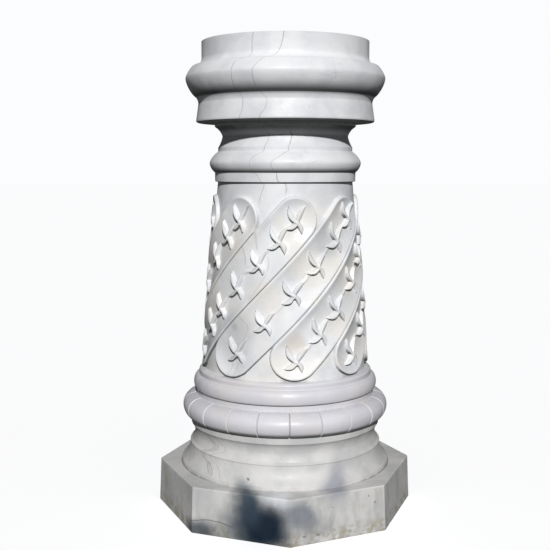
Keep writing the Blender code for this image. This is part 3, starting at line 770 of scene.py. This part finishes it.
def turning_tree():
    """Runs a moulding's outline round the column, as a turner's template is run round the stone."""
    tree, start = new_shape_tree("run_moulding_round", "Steps", "Guide radius", "Stone")
    outline = add(tree, "GeometryNodeMeshToCurve", inputs={"Mesh": start["Shape"]})
    guide = add(tree, "GeometryNodeCurvePrimitiveCircle", {"mode": "RADIUS"},
                {"Resolution": start["Steps"], "Radius": start["Guide radius"]})
    swept = add(tree, "GeometryNodeCurveToMesh",
                inputs={"Curve": guide.outputs["Curve"], "Profile Curve": outline})
    return close_shape_tree(tree, start, swept)


def on_holder(mesh, kind):
    """Put a mesh on a passing object with one modifier. Returns both."""
    holder = bpy.data.objects.new("holder", mesh)
    bpy.context.scene.collection.objects.link(holder)
    return holder, holder.modifiers.new("step", kind)


def off_holder(holder):
    """Take the mesh, as the modifier leaves it, and let the object go."""
    bpy.context.view_layer.update()
    graph = bpy.context.evaluated_depsgraph_get()
    mesh = bpy.data.meshes.new_from_object(holder.evaluated_get(graph))
    bpy.data.objects.remove(holder)
    return mesh


def grown(shape, tree, values):
    """Run a shape through a tree of geometry nodes, and return the result as a plain mesh."""
    holder, modifier = on_holder(shape, "NODES")
    modifier.node_group = tree
    for item in tree.interface.items_tree:
        if item.in_out == "INPUT" and item.name in values:
            modifier[item.identifier] = values[item.name]
    return off_holder(holder)


def thinned(mesh, triangles):
    """Mesh with about that many triangles: flat places get large ones, and edges keep small ones."""
    holder, modifier = on_holder(mesh, "DECIMATE")
    modifier.ratio = min(1.0, triangles / (2 * len(mesh.polygons)))
    modifier.use_collapse_triangulate = True
    return off_holder(holder)


def turned_moulding(points, stone):
    """Moulding turned about Z from its outline of radius and height."""
    outline = bpy.data.meshes.new("outline")
    guide_radius = 1.0
    outline.from_pydata([(radius - guide_radius, -height, 0.0) for radius, height in points],
                        [(at, at + 1) for at in range(len(points) - 1)], [])
    return grown(outline, turning_tree(),
                 {"Steps": ROUND_STEPS, "Guide radius": guide_radius, "Stone": stone})


def lobe_offsets(radius):
    """Distances along the torus from one groove's middle to the next, close together at the grooves."""
    lobe = 2 * pi * radius / LOBE_COUNT
    near = [0.0, LOBE_GROOVE_HALF_WIDTH / 2, LOBE_GROOVE_HALF_WIDTH, LOBE_GROOVE_HALF_WIDTH * 1.6,
            LOBE_SHOULDER_REACH * 0.7, LOBE_SHOULDER_REACH]
    inner = [LOBE_SHOULDER_REACH + (lobe - 2 * LOBE_SHOULDER_REACH) * step / LOBE_STEPS
             for step in range(1, LOBE_STEPS)]
    return near + inner + [lobe - offset for offset in reversed(near)]


def one_lobe():
    """One lobe of the torus, from the middle of one fine groove to the middle of the next."""
    points = lobed_torus_profile().points
    rows = []
    for at, (radius, height) in enumerate(points):
        before = Vector(points[max(at - 1, 0)])
        after = Vector(points[min(at + 1, len(points) - 1)])
        run = (after - before).normalized()
        outward = Vector((run.y, -run.x))
        lobe = 2 * pi * LOBED_TORUS_RADIUS / LOBE_COUNT
        row = []
        for offset in lobe_offsets(LOBED_TORUS_RADIUS):
            away = min(offset, lobe - offset)
            cut = LOBE_GROOVE_DEPTH * max(0.0, 1 - away / LOBE_GROOVE_HALF_WIDTH)
            eased = LOBE_SHOULDER * max(0.0, 1 - away / LOBE_SHOULDER_REACH) ** 2
            sunk = Vector((radius, height)) - outward * (cut + eased)
            angle = offset / LOBED_TORUS_RADIUS
            row.append((sunk.x * sin(angle), -sunk.x * cos(angle), sunk.y))
        rows.append(row)
    places = np.array(rows)
    return grid_mesh("lobe", places[..., 0], places[..., 1], places[..., 2])


def angle_of(vert):
    return atan2(vert.co.x, -vert.co.y) % (2 * pi)


def open_rings(mesh):
    """The mesh's open rings from the lowest up, each with its corners sorted round the axis."""
    left = {vert for edge in mesh.edges if len(edge.link_faces) == 1 for vert in edge.verts}
    rings = []
    while left:
        waiting = [left.pop()]
        ring = list(waiting)
        while waiting:
            vert = waiting.pop()
            for edge in vert.link_edges:
                other = edge.other_vert(vert)
                if len(edge.link_faces) == 1 and other in left:
                    left.remove(other)
                    ring.append(other)
                    waiting.append(other)
        rings.append(sorted(ring, key=angle_of))
    return sorted(rings, key=lambda ring: sum(vert.co.z for vert in ring) / len(ring))


def zip_rings(mesh, lower, upper):
    """Close the strip between two rings, which may have different numbers of corners."""
    low_angles = [angle_of(vert) for vert in lower]
    high_angles = [angle_of(vert) for vert in upper]
    low_angles += [angle + 2 * pi for angle in low_angles]
    high_angles += [angle + 2 * pi for angle in high_angles]
    low = high = 0
    while low < len(lower) or high < len(upper):
        below, above = lower[low % len(lower)], upper[high % len(upper)]
        if high == len(upper) or (low < len(lower) and low_angles[low + 1] <= high_angles[high + 1]):
            low += 1
            mesh.faces.new((below, lower[low % len(lower)], above))
        else:
            high += 1
            mesh.faces.new((below, upper[high % len(upper)], above))


def finish_stone(mesh, name, material):
    """One closed piece with its faces pointing out, its steep edges crisp and the rest smooth."""
    bmesh.ops.recalc_face_normals(mesh, faces=mesh.faces)
    data = bpy.data.meshes.new(name)
    mesh.to_mesh(data)
    mesh.free()
    data.materials.clear()
    data.materials.append(material)
    data.shade_smooth()
    data.set_sharp_from_angle(angle=SHARP_ANGLE)
    holder, modifier = on_holder(data, "WEIGHTED_NORMAL")
    modifier.keep_sharp = True
    finished = off_holder(holder)
    finished.name = name
    # Marks for dirt mixed with painted shade in grooves, and for painted shade on the undersides
    keep_recess_and_underside_marks(finished)
    made = bpy.data.objects.new(name, finished)
    bpy.context.scene.collection.objects.link(made)
    return made


def keep_recess_and_underside_marks(mesh):
    """Mark each vertex by how far it lies in a groove or inner corner, for dirt mixed with painted shade
    there, and each corner of the faces by how far it faces down, for painted shade on the undersides."""
    places, outwards = (np.empty(len(mesh.vertices) * 3, dtype=np.float32) for _ in range(2))
    mesh.vertices.foreach_get("co", places)
    mesh.vertex_normals.foreach_get("vector", outwards)
    places, outwards = places.reshape(-1, 3), outwards.reshape(-1, 3)
    ends = np.empty(len(mesh.edges) * 2, dtype=np.int32)
    mesh.edges.foreach_get("vertices", ends)
    first, second = ends.reshape(-1, 2).T
    run = places[second] - places[first]
    length = np.maximum(np.linalg.norm(run, axis=1), 1e-9)
    run /= length[:, None]
    depth, shares, longest = (np.zeros(len(mesh.vertices)) for _ in range(3))
    for end, way in ((first, 1), (second, -1)):
        np.add.at(depth, end, way * (run * outwards[end]).sum(axis=1))
        np.add.at(shares, end, 1)
        np.maximum.at(longest, end, length)
    depth = depth / np.maximum(shares, 1) * np.clip((RECESS_MARK_REACH - longest) / RECESS_MARK_REACH * 2, 0, 1)
    kept = mesh.attributes.new("recess_depth", "FLOAT", "POINT")
    kept.data.foreach_set("value", np.maximum(depth, 0).astype(np.float32))
    corner_normals = np.empty(len(mesh.loops) * 3, dtype=np.float32)
    mesh.corner_normals.foreach_get("vector", corner_normals)
    under = mesh.attributes.new("underside", "FLOAT", "CORNER")
    under.data.foreach_set("value", np.maximum(-corner_normals[2::3], 0))


def bridge(mesh, lower, upper):
    """Quads between two rings that have as many corners."""
    for at in range(len(lower)):
        after = (at + 1) % len(lower)
        mesh.faces.new((lower[at], lower[after], upper[after], upper[at]))


def close_end(mesh, ring, height):
    """Flat end of fine rings inside a ring, down to a middle point."""
    middle = mesh.verts.new((0.0, 0.0, height))
    outer = ring
    for share in (0.75, 0.5, 0.25):
        inner = [mesh.verts.new((vert.co.x * share, vert.co.y * share, height)) for vert in ring]
        bridge(mesh, outer, inner)
        outer = inner
    for at in range(len(ring)):
        mesh.faces.new((outer[at], outer[(at + 1) % len(ring)], middle))


def shaft_stone(material):
    """The upper stone: lobed torus, collar, carved shaft, neck and capital as one closed mesh."""
    mesh = bmesh.new()
    lobes = grown(one_lobe(), repeating_tree(),
                  {"Count": LOBE_COUNT, "Turn": LOBE_TURN, "Seam": MERGE_DISTANCE, "Stone": material})
    collar = turned_moulding(collar_profile().softened()[1:-1], material)
    rolled = grown(carved_sheet(), rolling_tree(), {
        "Foot radius": SHAFT_FOOT_RADIUS, "Head radius": SHAFT_HEAD_RADIUS, "Entasis": SHAFT_ENTASIS,
        "Foot height": SHAFT_FOOT, "Shaft height": SHAFT_HEIGHT, "Sheet radius": SHEET_RADIUS,
        "Turn": PANEL_TURN, "Seam": MERGE_DISTANCE, "Stone": material})
    head = turned_moulding(head_profile().softened()[1:], material)
    for part in (lobes, collar, thinned(rolled, SHEET_TRIANGLES), head):
        mesh.from_mesh(part)
    rings = open_rings(mesh)
    for lower, upper in ((1, 2), (3, 4), (5, 6)):
        zip_rings(mesh, rings[lower], rings[upper])
    close_end(mesh, rings[0], rings[0][0].co.z)
    close_end(mesh, rings[-1], rings[-1][0].co.z)
    return finish_stone(mesh, "carved_shaft_stone", material)


def plinth_outline(corner_radius):
    """Corners of the plinth's outline, with its upright arrises slightly rounded."""
    corners = [Vector((corner_radius * sin(2 * pi * side / PLINTH_SIDES),
                       -corner_radius * cos(2 * pi * side / PLINTH_SIDES))) for side in range(PLINTH_SIDES)]
    places = []
    for side in range(PLINTH_SIDES):
        start, end = corners[side], corners[(side + 1) % PLINTH_SIDES]
        along = (end - start).normalized()
        length = (end - start).length
        eased = start.normalized() * PLINTH_ARRIS * (1 / cos(pi / PLINTH_SIDES) - 1)
        places.append((start - eased, side, 0.0))
        first = PLINTH_ARRIS * tan(pi / PLINTH_SIDES)
        for step in range(PLINTH_STEPS_PER_SIDE - 1):
            run = first + (length - 2 * first) * step / (PLINTH_STEPS_PER_SIDE - 2)
            places.append((start + along * run, side, run / length))
    return places


def wear(place, side, share, height, length):
    """How deep the plinth is chipped or pitted at a place, measured inwards."""
    to_upright = min(share, 1 - share) * length
    to_edge = min(to_upright, PLINTH_HEIGHT - height, height)
    sample = Vector(place) * 1000
    chips = noise.noise(sample / CHIP_SIZES[0]) + 0.5 * noise.noise(sample / CHIP_SIZES[1])
    depth = CHIP_DEPTH * max(0.0, chips - CHIP_LEVEL) * max(0.0, 1 - to_edge / CHIP_REACH) ** 1.5
    if side == ROUGH_SIDE:
        low = max(0.0, 1 - height / ROUGH_HEIGHT)
        pits = noise.noise(sample / PIT_SIZES[0]) + 0.6 * noise.noise(sample / PIT_SIZES[1])
        depth += ROUGH_DEPTH * max(0.0, pits - PIT_LEVEL) * min(1.0, 2 * low)
    return depth


def worn_ring(mesh, corner_radius, inwards, height, worn_as, drop=0.0):
    """Ring round the plinth, sunk by the wear of the height worn_as. It also drops by a share of the wear."""
    side_length = 2 * corner_radius * sin(pi / PLINTH_SIDES)
    ring = []
    for place, side, share in plinth_outline(corner_radius - inwards):
        depth = wear((place.x, place.y, height), side, share, worn_as, side_length) if height > 0 else 0.0
        sunk = place * (1 - depth / place.length)
        ring.append(mesh.verts.new((sunk.x, sunk.y, height - drop * depth)))
    return ring


def plinth_stone(material):
    """The lower stone: the eight-sided plinth with worn edges, and its round mouldings."""
    mesh = bmesh.new()
    heights = [0.0, PLINTH_ARRIS / 2]
    heights += [PLINTH_HEIGHT * row / PLINTH_ROWS for row in range(1, PLINTH_ROWS)]
    rings = []
    for height in heights:
        corner_radius = PLINTH_CORNER_RADIUS + PLINTH_BATTER * (1 - height / PLINTH_HEIGHT)
        inwards = PLINTH_ARRIS / 2 if height == 0 else 0.0
        rings.append(worn_ring(mesh, corner_radius, inwards, height, height))
    for step in range(1, PLINTH_ARRIS_STEPS + 1):
        turn = pi / 2 * step / PLINTH_ARRIS_STEPS
        inwards = PLINTH_ARRIS * (1 - cos(turn))
        height = PLINTH_HEIGHT - PLINTH_ARRIS * (1 - sin(turn))
        rings.append(worn_ring(mesh, PLINTH_CORNER_RADIUS, inwards, height, PLINTH_HEIGHT, 0.5))
    outer = [place for place, _, _ in plinth_outline(PLINTH_CORNER_RADIUS - PLINTH_ARRIS)]
    for row in range(1, PLINTH_TOP_ROWS + 1):
        places = [place.lerp(place.normalized() * (FOOT_BAND_RADIUS + ARRIS_ROUNDING), row / PLINTH_TOP_ROWS)
                  for place in outer]
        rings.append([mesh.verts.new((place.x, place.y, PLINTH_HEIGHT)) for place in places])
    for lower, upper in zip(rings, rings[1:]):
        bridge(mesh, lower, upper)
    mesh.from_mesh(turned_moulding(foot_profile().softened(), material))
    found = open_rings(mesh)
    zip_rings(mesh, found[1], found[2])
    close_end(mesh, found[0], 0.0)
    close_end(mesh, found[-1], found[-1][0].co.z)
    return finish_stone(mesh, "plinth_stone", material)


def colour(code):
    """Linear colour of an sRGB hex value."""
    parts = [int(code[at:at + 2], 16) / 255 for at in (1, 3, 5)]
    return (*(part / 12.92 if part <= 0.04045 else ((part + 0.055) / 1.055) ** 2.4 for part in parts), 1.0)


def ramp(tree, value, start, end, least=0.0, most=1.0, kind="LINEAR"):
    """Number that goes from least to most while the value goes from start to end, and then stays."""
    return add(tree, "ShaderNodeMapRange", {"interpolation_type": kind}, {
        "Value": value, "From Min": start, "From Max": end, "To Min": least, "To Max": most})


def soft_mask(tree, value, none_at, full_at, strength=1.0):
    """Mask that grows from none_at to full_at along an even curve."""
    return ramp(tree, value, none_at, full_at, most=strength, kind="SMOOTHSTEP")


def line_mask(tree, off, half_width, core, strength=1.0):
    """Mask of a line: gone where the offset passes half_width, and full within the core."""
    return soft_mask(tree, work_out(tree, "ABSOLUTE", off), half_width, core, strength)


def noise_field(tree, place, size, detail):
    """Noise whose waves have about one size."""
    return add(tree, "ShaderNodeTexNoise", inputs={"Vector": place, "Scale": 1 / size, "Detail": detail})


def stone_place(tree):
    """Place in the stone in metres, turned so that -Y faces the viewer."""
    place = add(tree, "ShaderNodeTexCoord")
    return add(tree, "ShaderNodeMapping",
               inputs={"Vector": place.outputs["Object"], "Rotation": (0, 0, VIEW_TURN)})


def wandering(tree, place, reach, size):
    """Places shifted this way and that by up to reach. What follows them wanders, as in grown stone."""
    drift = noise_field(tree, place, size, 3.0)
    evened = add(tree, "ShaderNodeVectorMath", {"operation": "SUBTRACT"},
                 {0: drift.outputs["Color"], 1: (0.5, 0.5, 0.5)})
    return add(tree, "ShaderNodeVectorMath", {"operation": "MULTIPLY_ADD"},
               {0: evened, 1: (2 * reach, 2 * reach, 2 * reach), 2: place})


def patches(tree, place, size, start, full, strength):
    """Mask of soft patches of about one size. It begins where the noise passes start, and is full at full."""
    return soft_mask(tree, noise_field(tree, place, size, 4.0), start, full, strength)


def stain(tree, place, middle, reach, lean, strength):
    """Mask of one soft-edged stain: an egg-shaped body in the stone, leaning in the viewer's plane."""
    body = add(tree, "ShaderNodeMapping", {"vector_type": "TEXTURE"}, {
        "Vector": place, "Location": middle, "Rotation": (0, lean, 0), "Scale": reach})
    depth = add(tree, "ShaderNodeTexGradient", {"gradient_type": "SPHERICAL"}, {"Vector": body})
    return soft_mask(tree, depth.outputs["Fac"], 0.0, 0.75, strength)


def stains(tree, rows):
    """Layers of stains from rows of place, middle, reach, lean, strength and colour."""
    return [(stain(tree, *row[:-1]), row[-1]) for row in rows]


def vein(tree, place, slant, path, half_width, strength):
    """Mask of a thin vein: the sheet that follows a path. It comes and goes along its length."""
    x, y, z = axes(tree, place)
    low, high = path[0][0], path[-1][0]
    least = min(lie for _, lie in path)
    most = max(lie for _, lie in path)
    course = add(tree, "ShaderNodeFloatCurve", inputs={"Value": ramp(tree, z, low, high)})
    points = course.mapping.curves[0].points
    for at, (height, lie) in enumerate(path):
        spot = ((height - low) / (high - low), (lie - least) / (most - least))
        if at == 0:
            points[0].location = spot
        elif at == len(path) - 1:
            points[len(points) - 1].location = spot
        else:
            points.new(*spot)
    course.mapping.update()
    lies = work_out(tree, "MULTIPLY_ADD", course, most - least, least)
    lie = work_out(tree, "MULTIPLY_ADD", y, -slant, x)
    line = line_mask(tree, work_out(tree, "SUBTRACT", lie, lies), half_width, half_width * 0.15)
    fade = (high - low) * 0.06
    begun = ramp(tree, z, low, low + fade)
    ended = ramp(tree, z, high + 0.001, high + 0.001 - fade)
    kept = both(tree, line, both(tree, begun, ended) if high < 1 else begun)
    force = ramp(tree, noise_field(tree, place, 0.022, 2.0), 0.25, 0.65, 0.45 * strength, strength)
    return both(tree, kept, force)


def hair_veins(tree, place, size, half_width, strength):
    """Mask of faint curling hairlines: the level lines of a slow noise, shown only in some places."""
    off = work_out(tree, "SUBTRACT", noise_field(tree, place, size, 3.0), 0.5)
    line = line_mask(tree, off, half_width / size, 0.0)
    return both(tree, line, patches(tree, place, 0.11, 0.50, 0.62, strength))


def height_band(tree, place, none_at, full_at, strength):
    """Mask that grows with height from none_at to full_at, or downwards where none_at is the higher."""
    return soft_mask(tree, axes(tree, place)[2], none_at, full_at, strength)


def ring_line(tree, place, radius, half_width):
    """Mask of a thin ring about the column's axis, stronger on the flanks than in front."""
    x, y, _ = axes(tree, place)
    flat = add(tree, "ShaderNodeCombineXYZ", inputs={"X": x, "Y": y})
    out = add(tree, "ShaderNodeVectorMath", {"operation": "LENGTH"}, {0: flat})
    off = work_out(tree, "SUBTRACT", out.outputs["Value"], radius)
    line = line_mask(tree, off, half_width, half_width * 0.3)
    return both(tree, line, ramp(tree, work_out(tree, "ABSOLUTE", x), 0.12, 0.19, 0.25))


def saw_mark(tree, place):
    """Mask of the thin bowed mark that a saw left low on the left front face of the plinth."""
    x, y, z = axes(tree, place)
    from_middle = work_out(tree, "ADD", x, 0.148)
    squared = work_out(tree, "MULTIPLY", from_middle, from_middle)
    bowed = work_out(tree, "MULTIPLY_ADD", squared, 4.2, z)
    line = line_mask(tree, work_out(tree, "SUBTRACT", bowed, 0.0315), 0.0016, 0.0004, 0.70)
    ends = ramp(tree, work_out(tree, "ABSOLUTE", from_middle), 0.050, 0.038)
    return both(tree, both(tree, line, ends), ramp(tree, y, -0.150, -0.180))


def both(tree, first, second):
    """Mask of the places where two masks meet."""
    return work_out(tree, "MULTIPLY", first, second)


def painted(tree, shade, layers):
    """Colour with layers laid over it in turn, each a mask and a colour."""
    for mask, code in layers:
        over = add(tree, "ShaderNodeMix", {"data_type": "RGBA"}, {0: mask, 6: shade, 7: colour(code)})
        shade = over.outputs[2]
    return shade


def marked(tree, mark, none_at, full_at, strength):
    """Mask from a mark that the finished mesh carries."""
    kept = add(tree, "ShaderNodeAttribute", {"attribute_name": mark})
    return soft_mask(tree, kept.outputs["Fac"], none_at, full_at, strength)


def dirt_and_painted_shade(tree, strength):
    """Mask of grooves and inner corners, for dirt mixed with painted shade there."""
    return marked(tree, "recess_depth", 0.10, 0.46, strength)


def painted_underside_shade(tree, strength):
    """Mask of the undersides, for painted shade there."""
    return marked(tree, "underside", 0.38, 0.76, strength)


def new_marble(name):
    """Marble without its layers. Returns it with its tree, and the places with a fine and a broad wander."""
    material = bpy.data.materials.new(name)
    material.use_nodes = True
    tree = material.node_tree
    place = stone_place(tree)
    return material, tree, place, wandering(tree, place, *FINE_WANDER), wandering(tree, place, *BROAD_WANDER)


def hone(tree, place, shade, smoothest, roughest):
    """Marble rubbed with stones by hand: its colour, a sheen duller in patches, and a sugary grain."""
    shader = tree.nodes["Principled BSDF"]
    shader.inputs["Specular IOR Level"].default_value = MARBLE_SPECULAR
    rub = patches(tree, place, 0.03, 0.35, 0.65, 1.0)
    sheen = ramp(tree, rub, 0.0, 1.0, smoothest, roughest)
    # The crystals are about 0.5 mm across. They are drawn at 1.4 mm, the least that shows at this distance
    grain = noise_field(tree, place, 0.0014, 1.0)
    coarse = add(tree, "ShaderNodeBump", inputs={
        "Height": noise_field(tree, place, 0.018, 2.0), "Strength": 0.5, "Distance": 0.0012})
    fine = add(tree, "ShaderNodeBump", inputs={
        "Height": grain, "Strength": 0.12, "Distance": 0.0003, "Normal": coarse})
    tree.links.new(shade, shader.inputs["Base Color"])
    tree.links.new(sheen.outputs[0], shader.inputs["Roughness"])
    tree.links.new(fine.outputs[0], shader.inputs["Normal"])


def veined_white_marble():
    """White statuary-like marble of the upper stone, sawn, carved with chisel and rasp, and honed by hand.

    It gives the eye a cool white with slow grey drifts, two thin grey-brown veins down the capital and neck,
    curling hairlines, a little beige in the panels, a lilac cast on the lower mouldings, dirt mixed with
    painted shade in grooves, and painted shade on the undersides and in the neck's hollow under the capital.
    """
    material, tree, place, drifting, swirling = new_marble("veined_white_marble")
    drifts = patches(tree, swirling, 0.070, 0.38, 0.68, 1.0)
    ground_shade = painted(tree, colour("#E2E3E5"), [(drifts, "#D3D5D8")])
    on_shaft = height_band(tree, place, 0.72, 0.62, 1.0)
    layers = [
        (both(tree, patches(tree, swirling, 0.080, 0.42, 0.66, 0.50), on_shaft), "#E3DDD2"),
        (height_band(tree, place, 0.312, 0.300, 0.46), "#C2BEC7"),
        (hair_veins(tree, drifting, 0.060, 0.00022, 0.45), "#908D8E"),
        (patches(tree, wandering(tree, place, 0.05, 0.06), 0.11, 0.56, 0.72, 0.35), "#BDC0C5"),
        (stain(tree, swirling, (0.024, -0.168, 0.386), (0.030, 0.06, 0.028), 0.3, 0.45), "#CDBFAC"),
        (vein(tree, drifting, LONG_VEIN_SLANT, LEFT_LONG_VEIN, 0.0018, 0.62), "#807A76"),
        (vein(tree, drifting, LONG_VEIN_SLANT, RIGHT_LONG_VEIN, 0.0018, 0.62), "#807A76"),
        (vein(tree, drifting, LONG_VEIN_SLANT, PANEL_VEIN, 0.0022, 0.60), "#8E8C8A"),
        *stains(tree, (
            (swirling, (-0.095, -0.140, 0.400), (0.045, 0.06, 0.062), 0.0, 0.55, "#B4B5B7"),
            (drifting, (-0.103, -0.134, 0.413), (0.009, 0.02, 0.013), 0.0, 0.40, "#9A9A98"),
            (swirling, (0.084, -0.131, 0.591), (0.036, 0.05, 0.052), 0.0, 0.50, "#B6B9BC"),
        )),
        # Painted shade on the undersides
        (painted_underside_shade(tree, 1.00), "#545856"),
        # Painted shade in the neck's hollow under the capital
        (both(tree, height_band(tree, place, 0.792, 0.815, 0.18),
              height_band(tree, place, 0.838, 0.833, 1.0)), "#686A64"),
        # Dirt mixed with painted shade in grooves and inner corners
        (dirt_and_painted_shade(tree, 0.48), "#77736E"),
    ]
    for streak in SOFT_STREAKS:
        layers.append((vein(tree, drifting, LONG_VEIN_SLANT, streak, 0.0042, 0.42), "#A3A29F"))
    hone(tree, place, painted(tree, ground_shade, layers), 0.36, 0.52)
    return material


def clouded_white_marble():
    """Greyer white marble of the lower stone, with a dark blue-grey cloud that ran into its corner block.

    It gives the eye a warm grey-white, a nearly black-blue smoke on the left front face, thin bundled veins
    on the mouldings, yellowed and pitted stone along the bottom of the right front face, and dull sides.
    """
    material, tree, place, drifting, swirling = new_marble("clouded_white_marble")
    smoke = wandering(tree, place, 0.016, 0.045)
    drifts = patches(tree, swirling, 0.060, 0.38, 0.66, 1.0)
    ground_shade = painted(tree, colour("#CDCCCA"), [(drifts, "#BBBBBB")])
    weathered = both(tree, patches(tree, drifting, 0.016, 0.44, 0.60, 0.75),
                     height_band(tree, place, 0.036, 0.012, 1.0))
    streaked = add(tree, "ShaderNodeMapping", inputs={"Vector": smoke, "Scale": (1.0, 1.0, 0.15)})
    below_top = height_band(tree, place, 0.094, 0.088, 1.0)
    layers = [
        (both(tree, patches(tree, streaked, 0.020, 0.42, 0.70, 0.55), below_top), "#A5A49F"),
        (weathered, "#A39A86"),
        *stains(tree, (
            (smoke, (-0.012, -0.262, 0.086), (0.050, 0.05, 0.026), 0.2, 0.75, "#E3E6EA"),
            (smoke, (-0.062, -0.250, 0.026), (0.098, 0.12, 0.084), 0.0, 0.88, "#414C58"),
            (smoke, (-0.042, -0.255, 0.028), (0.076, 0.12, 0.074), 0.0, 1.0, "#0F2130"),
            (smoke, (-0.074, -0.243, 0.074), (0.036, 0.12, 0.064), -0.35, 0.92, "#2E3D4B"),
            (smoke, (0.034, -0.262, 0.060), (0.056, 0.07, 0.042), 0.5, 0.70, "#5E6573"),
            (smoke, (0.070, -0.245, 0.030), (0.050, 0.06, 0.030), 0.0, 0.40, "#6E7073"),
            (smoke, (-0.176, -0.208, 0.000), (0.066, 0.08, 0.040), 0.0, 0.85, "#39434F"),
            (smoke, (0.102, -0.205, 0.106), (0.040, 0.07, 0.050), 0.5, 0.62, "#787A8C"),
            (drifting, (-0.074, -0.206, 0.1135), (0.0050, 0.01, 0.0035), 0.6, 0.80, "#55555C"),
            (smoke, (-0.261, -0.047, 0.055), (0.020, 0.014, 0.018), 0.0, 0.45, "#A6A582"),
            (smoke, (-0.259, -0.052, 0.016), (0.020, 0.020, 0.014), 0.0, 0.45, "#A6A582"),
            (drifting, (0.038, -0.265, 0.017), (0.0060, 0.01, 0.0028), 0.0, 0.75, "#6F675B"),
            (drifting, (0.066, -0.252, 0.016), (0.0075, 0.01, 0.0026), 0.0, 0.75, "#6F675B"),
            (drifting, (0.183, -0.198, 0.063), (0.0032, 0.01, 0.0030), 0.0, 0.80, "#8C5A50"),
            (drifting, (0.170, -0.204, 0.078), (0.0026, 0.01, 0.0026), 0.0, 0.80, "#8C5A50"),
        )),
        (hair_veins(tree, drifting, 0.055, 0.00022, 0.50), "#8A8783"),
        # Painted shade on the undersides
        (painted_underside_shade(tree, 0.55), "#7B7F7F"),
        # Dirt mixed with painted shade in grooves and inner corners
        (dirt_and_painted_shade(tree, 0.60), "#6F6B65"),
        # Dirt mixed with painted shade in the inner corner where the foot band meets the plinth's top
        (both(tree, ring_line(tree, drifting, FOOT_BAND_RADIUS + 0.0010, 0.0014),
              height_band(tree, place, 0.0985, 0.0960, 0.75)), "#5E5B58"),
        (saw_mark(tree, drifting), "#55575A"),
    ]
    for shift, strength in ((-1, 0.85), (0, 0.85), (1, 0.85), (4.4, 0.45)):
        path = tuple((height, lie + FOOT_VEIN_SPACING * shift) for height, lie in FOOT_VEINS)
        layers.append((vein(tree, drifting, FOOT_VEIN_SLANT, path, 0.0024, strength), "#6F6E74"))
    hone(tree, place, painted(tree, ground_shade, layers), 0.42, 0.60)
    return material


def stage_floor():
    """Plain pale floor."""
    corners = [(x * FLOOR_HALF_WIDTH, y * FLOOR_HALF_WIDTH, 0)
               for x, y in ((-1, -1), (1, -1), (1, 1), (-1, 1))]
    data = bpy.data.meshes.new("floor")
    data.from_pydata(corners, [], [(0, 1, 2, 3)])
    floor = bpy.data.objects.new("floor", data)
    bpy.context.scene.collection.objects.link(floor)
    material = bpy.data.materials.new("pale_floor")
    material.use_nodes = True
    shader = material.node_tree.nodes["Principled BSDF"]
    shader.inputs["Base Color"].default_value = colour("#F4F4F4")
    shader.inputs["Roughness"].default_value = 0.9
    shader.inputs["Specular IOR Level"].default_value = 0.0
    shader.inputs["Emission Color"].default_value = colour(BACKDROP_COLOUR)
    shader.inputs["Emission Strength"].default_value = FLOOR_GLOW
    data.materials.append(material)
    floor.visible_diffuse = False
    floor.visible_glossy = False


def add_sun(name, bearing, elevation, strength, width):
    """Far light. Its bearing is counted in degrees from the viewer's side towards the right."""
    turn = radians(bearing) - VIEW_TURN
    rise = radians(elevation)
    towards = Vector((sin(turn) * cos(rise), -cos(turn) * cos(rise), sin(rise)))
    data = bpy.data.lights.new(name, "SUN")
    data.energy = strength
    data.angle = radians(width)
    light = bpy.data.objects.new(name, data)
    bpy.context.scene.collection.objects.link(light)
    light.rotation_euler = towards.to_track_quat("Z", "Y").to_euler()


def studio():
    """Key light from the front and above, a weak broad fill, and pale surroundings that give little light."""
    for name, measures in SUNS.items():
        add_sun(name, *measures)
    world = bpy.data.worlds.new("studio")
    world.use_nodes = True
    tree = world.node_tree
    tree.nodes.clear()
    ray = add(tree, "ShaderNodeLightPath").outputs["Is Camera Ray"]
    strength = ramp(tree, ray, 0.0, 1.0, SURROUND_STRENGTH, BACKDROP_STRENGTH)
    backdrop = add(tree, "ShaderNodeBackground",
                   inputs={"Color": colour(BACKDROP_COLOUR), "Strength": strength})
    add(tree, "ShaderNodeOutputWorld", inputs={"Surface": backdrop})
    bpy.context.scene.world = world
    bpy.context.scene.view_settings.view_transform = "Standard"


def make_camera():
    data = bpy.data.cameras.new("camera")
    data.sensor_width = CAMERA_SENSOR
    data.lens = CAMERA_LENS
    camera = bpy.data.objects.new("camera", data)
    bpy.context.scene.collection.objects.link(camera)
    camera.location = CAMERA_PLACE
    camera.rotation_euler = (CAMERA_TILT, 0.0, CAMERA_TURN)
    bpy.context.scene.camera = camera


make_camera()
studio()
stage_floor()
upper = shaft_stone(veined_white_marble())
lower = plinth_stone(clouded_white_marble())
for stone in (upper, lower):
    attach(stone, "root")
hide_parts("shaft_block")
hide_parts("base_block")
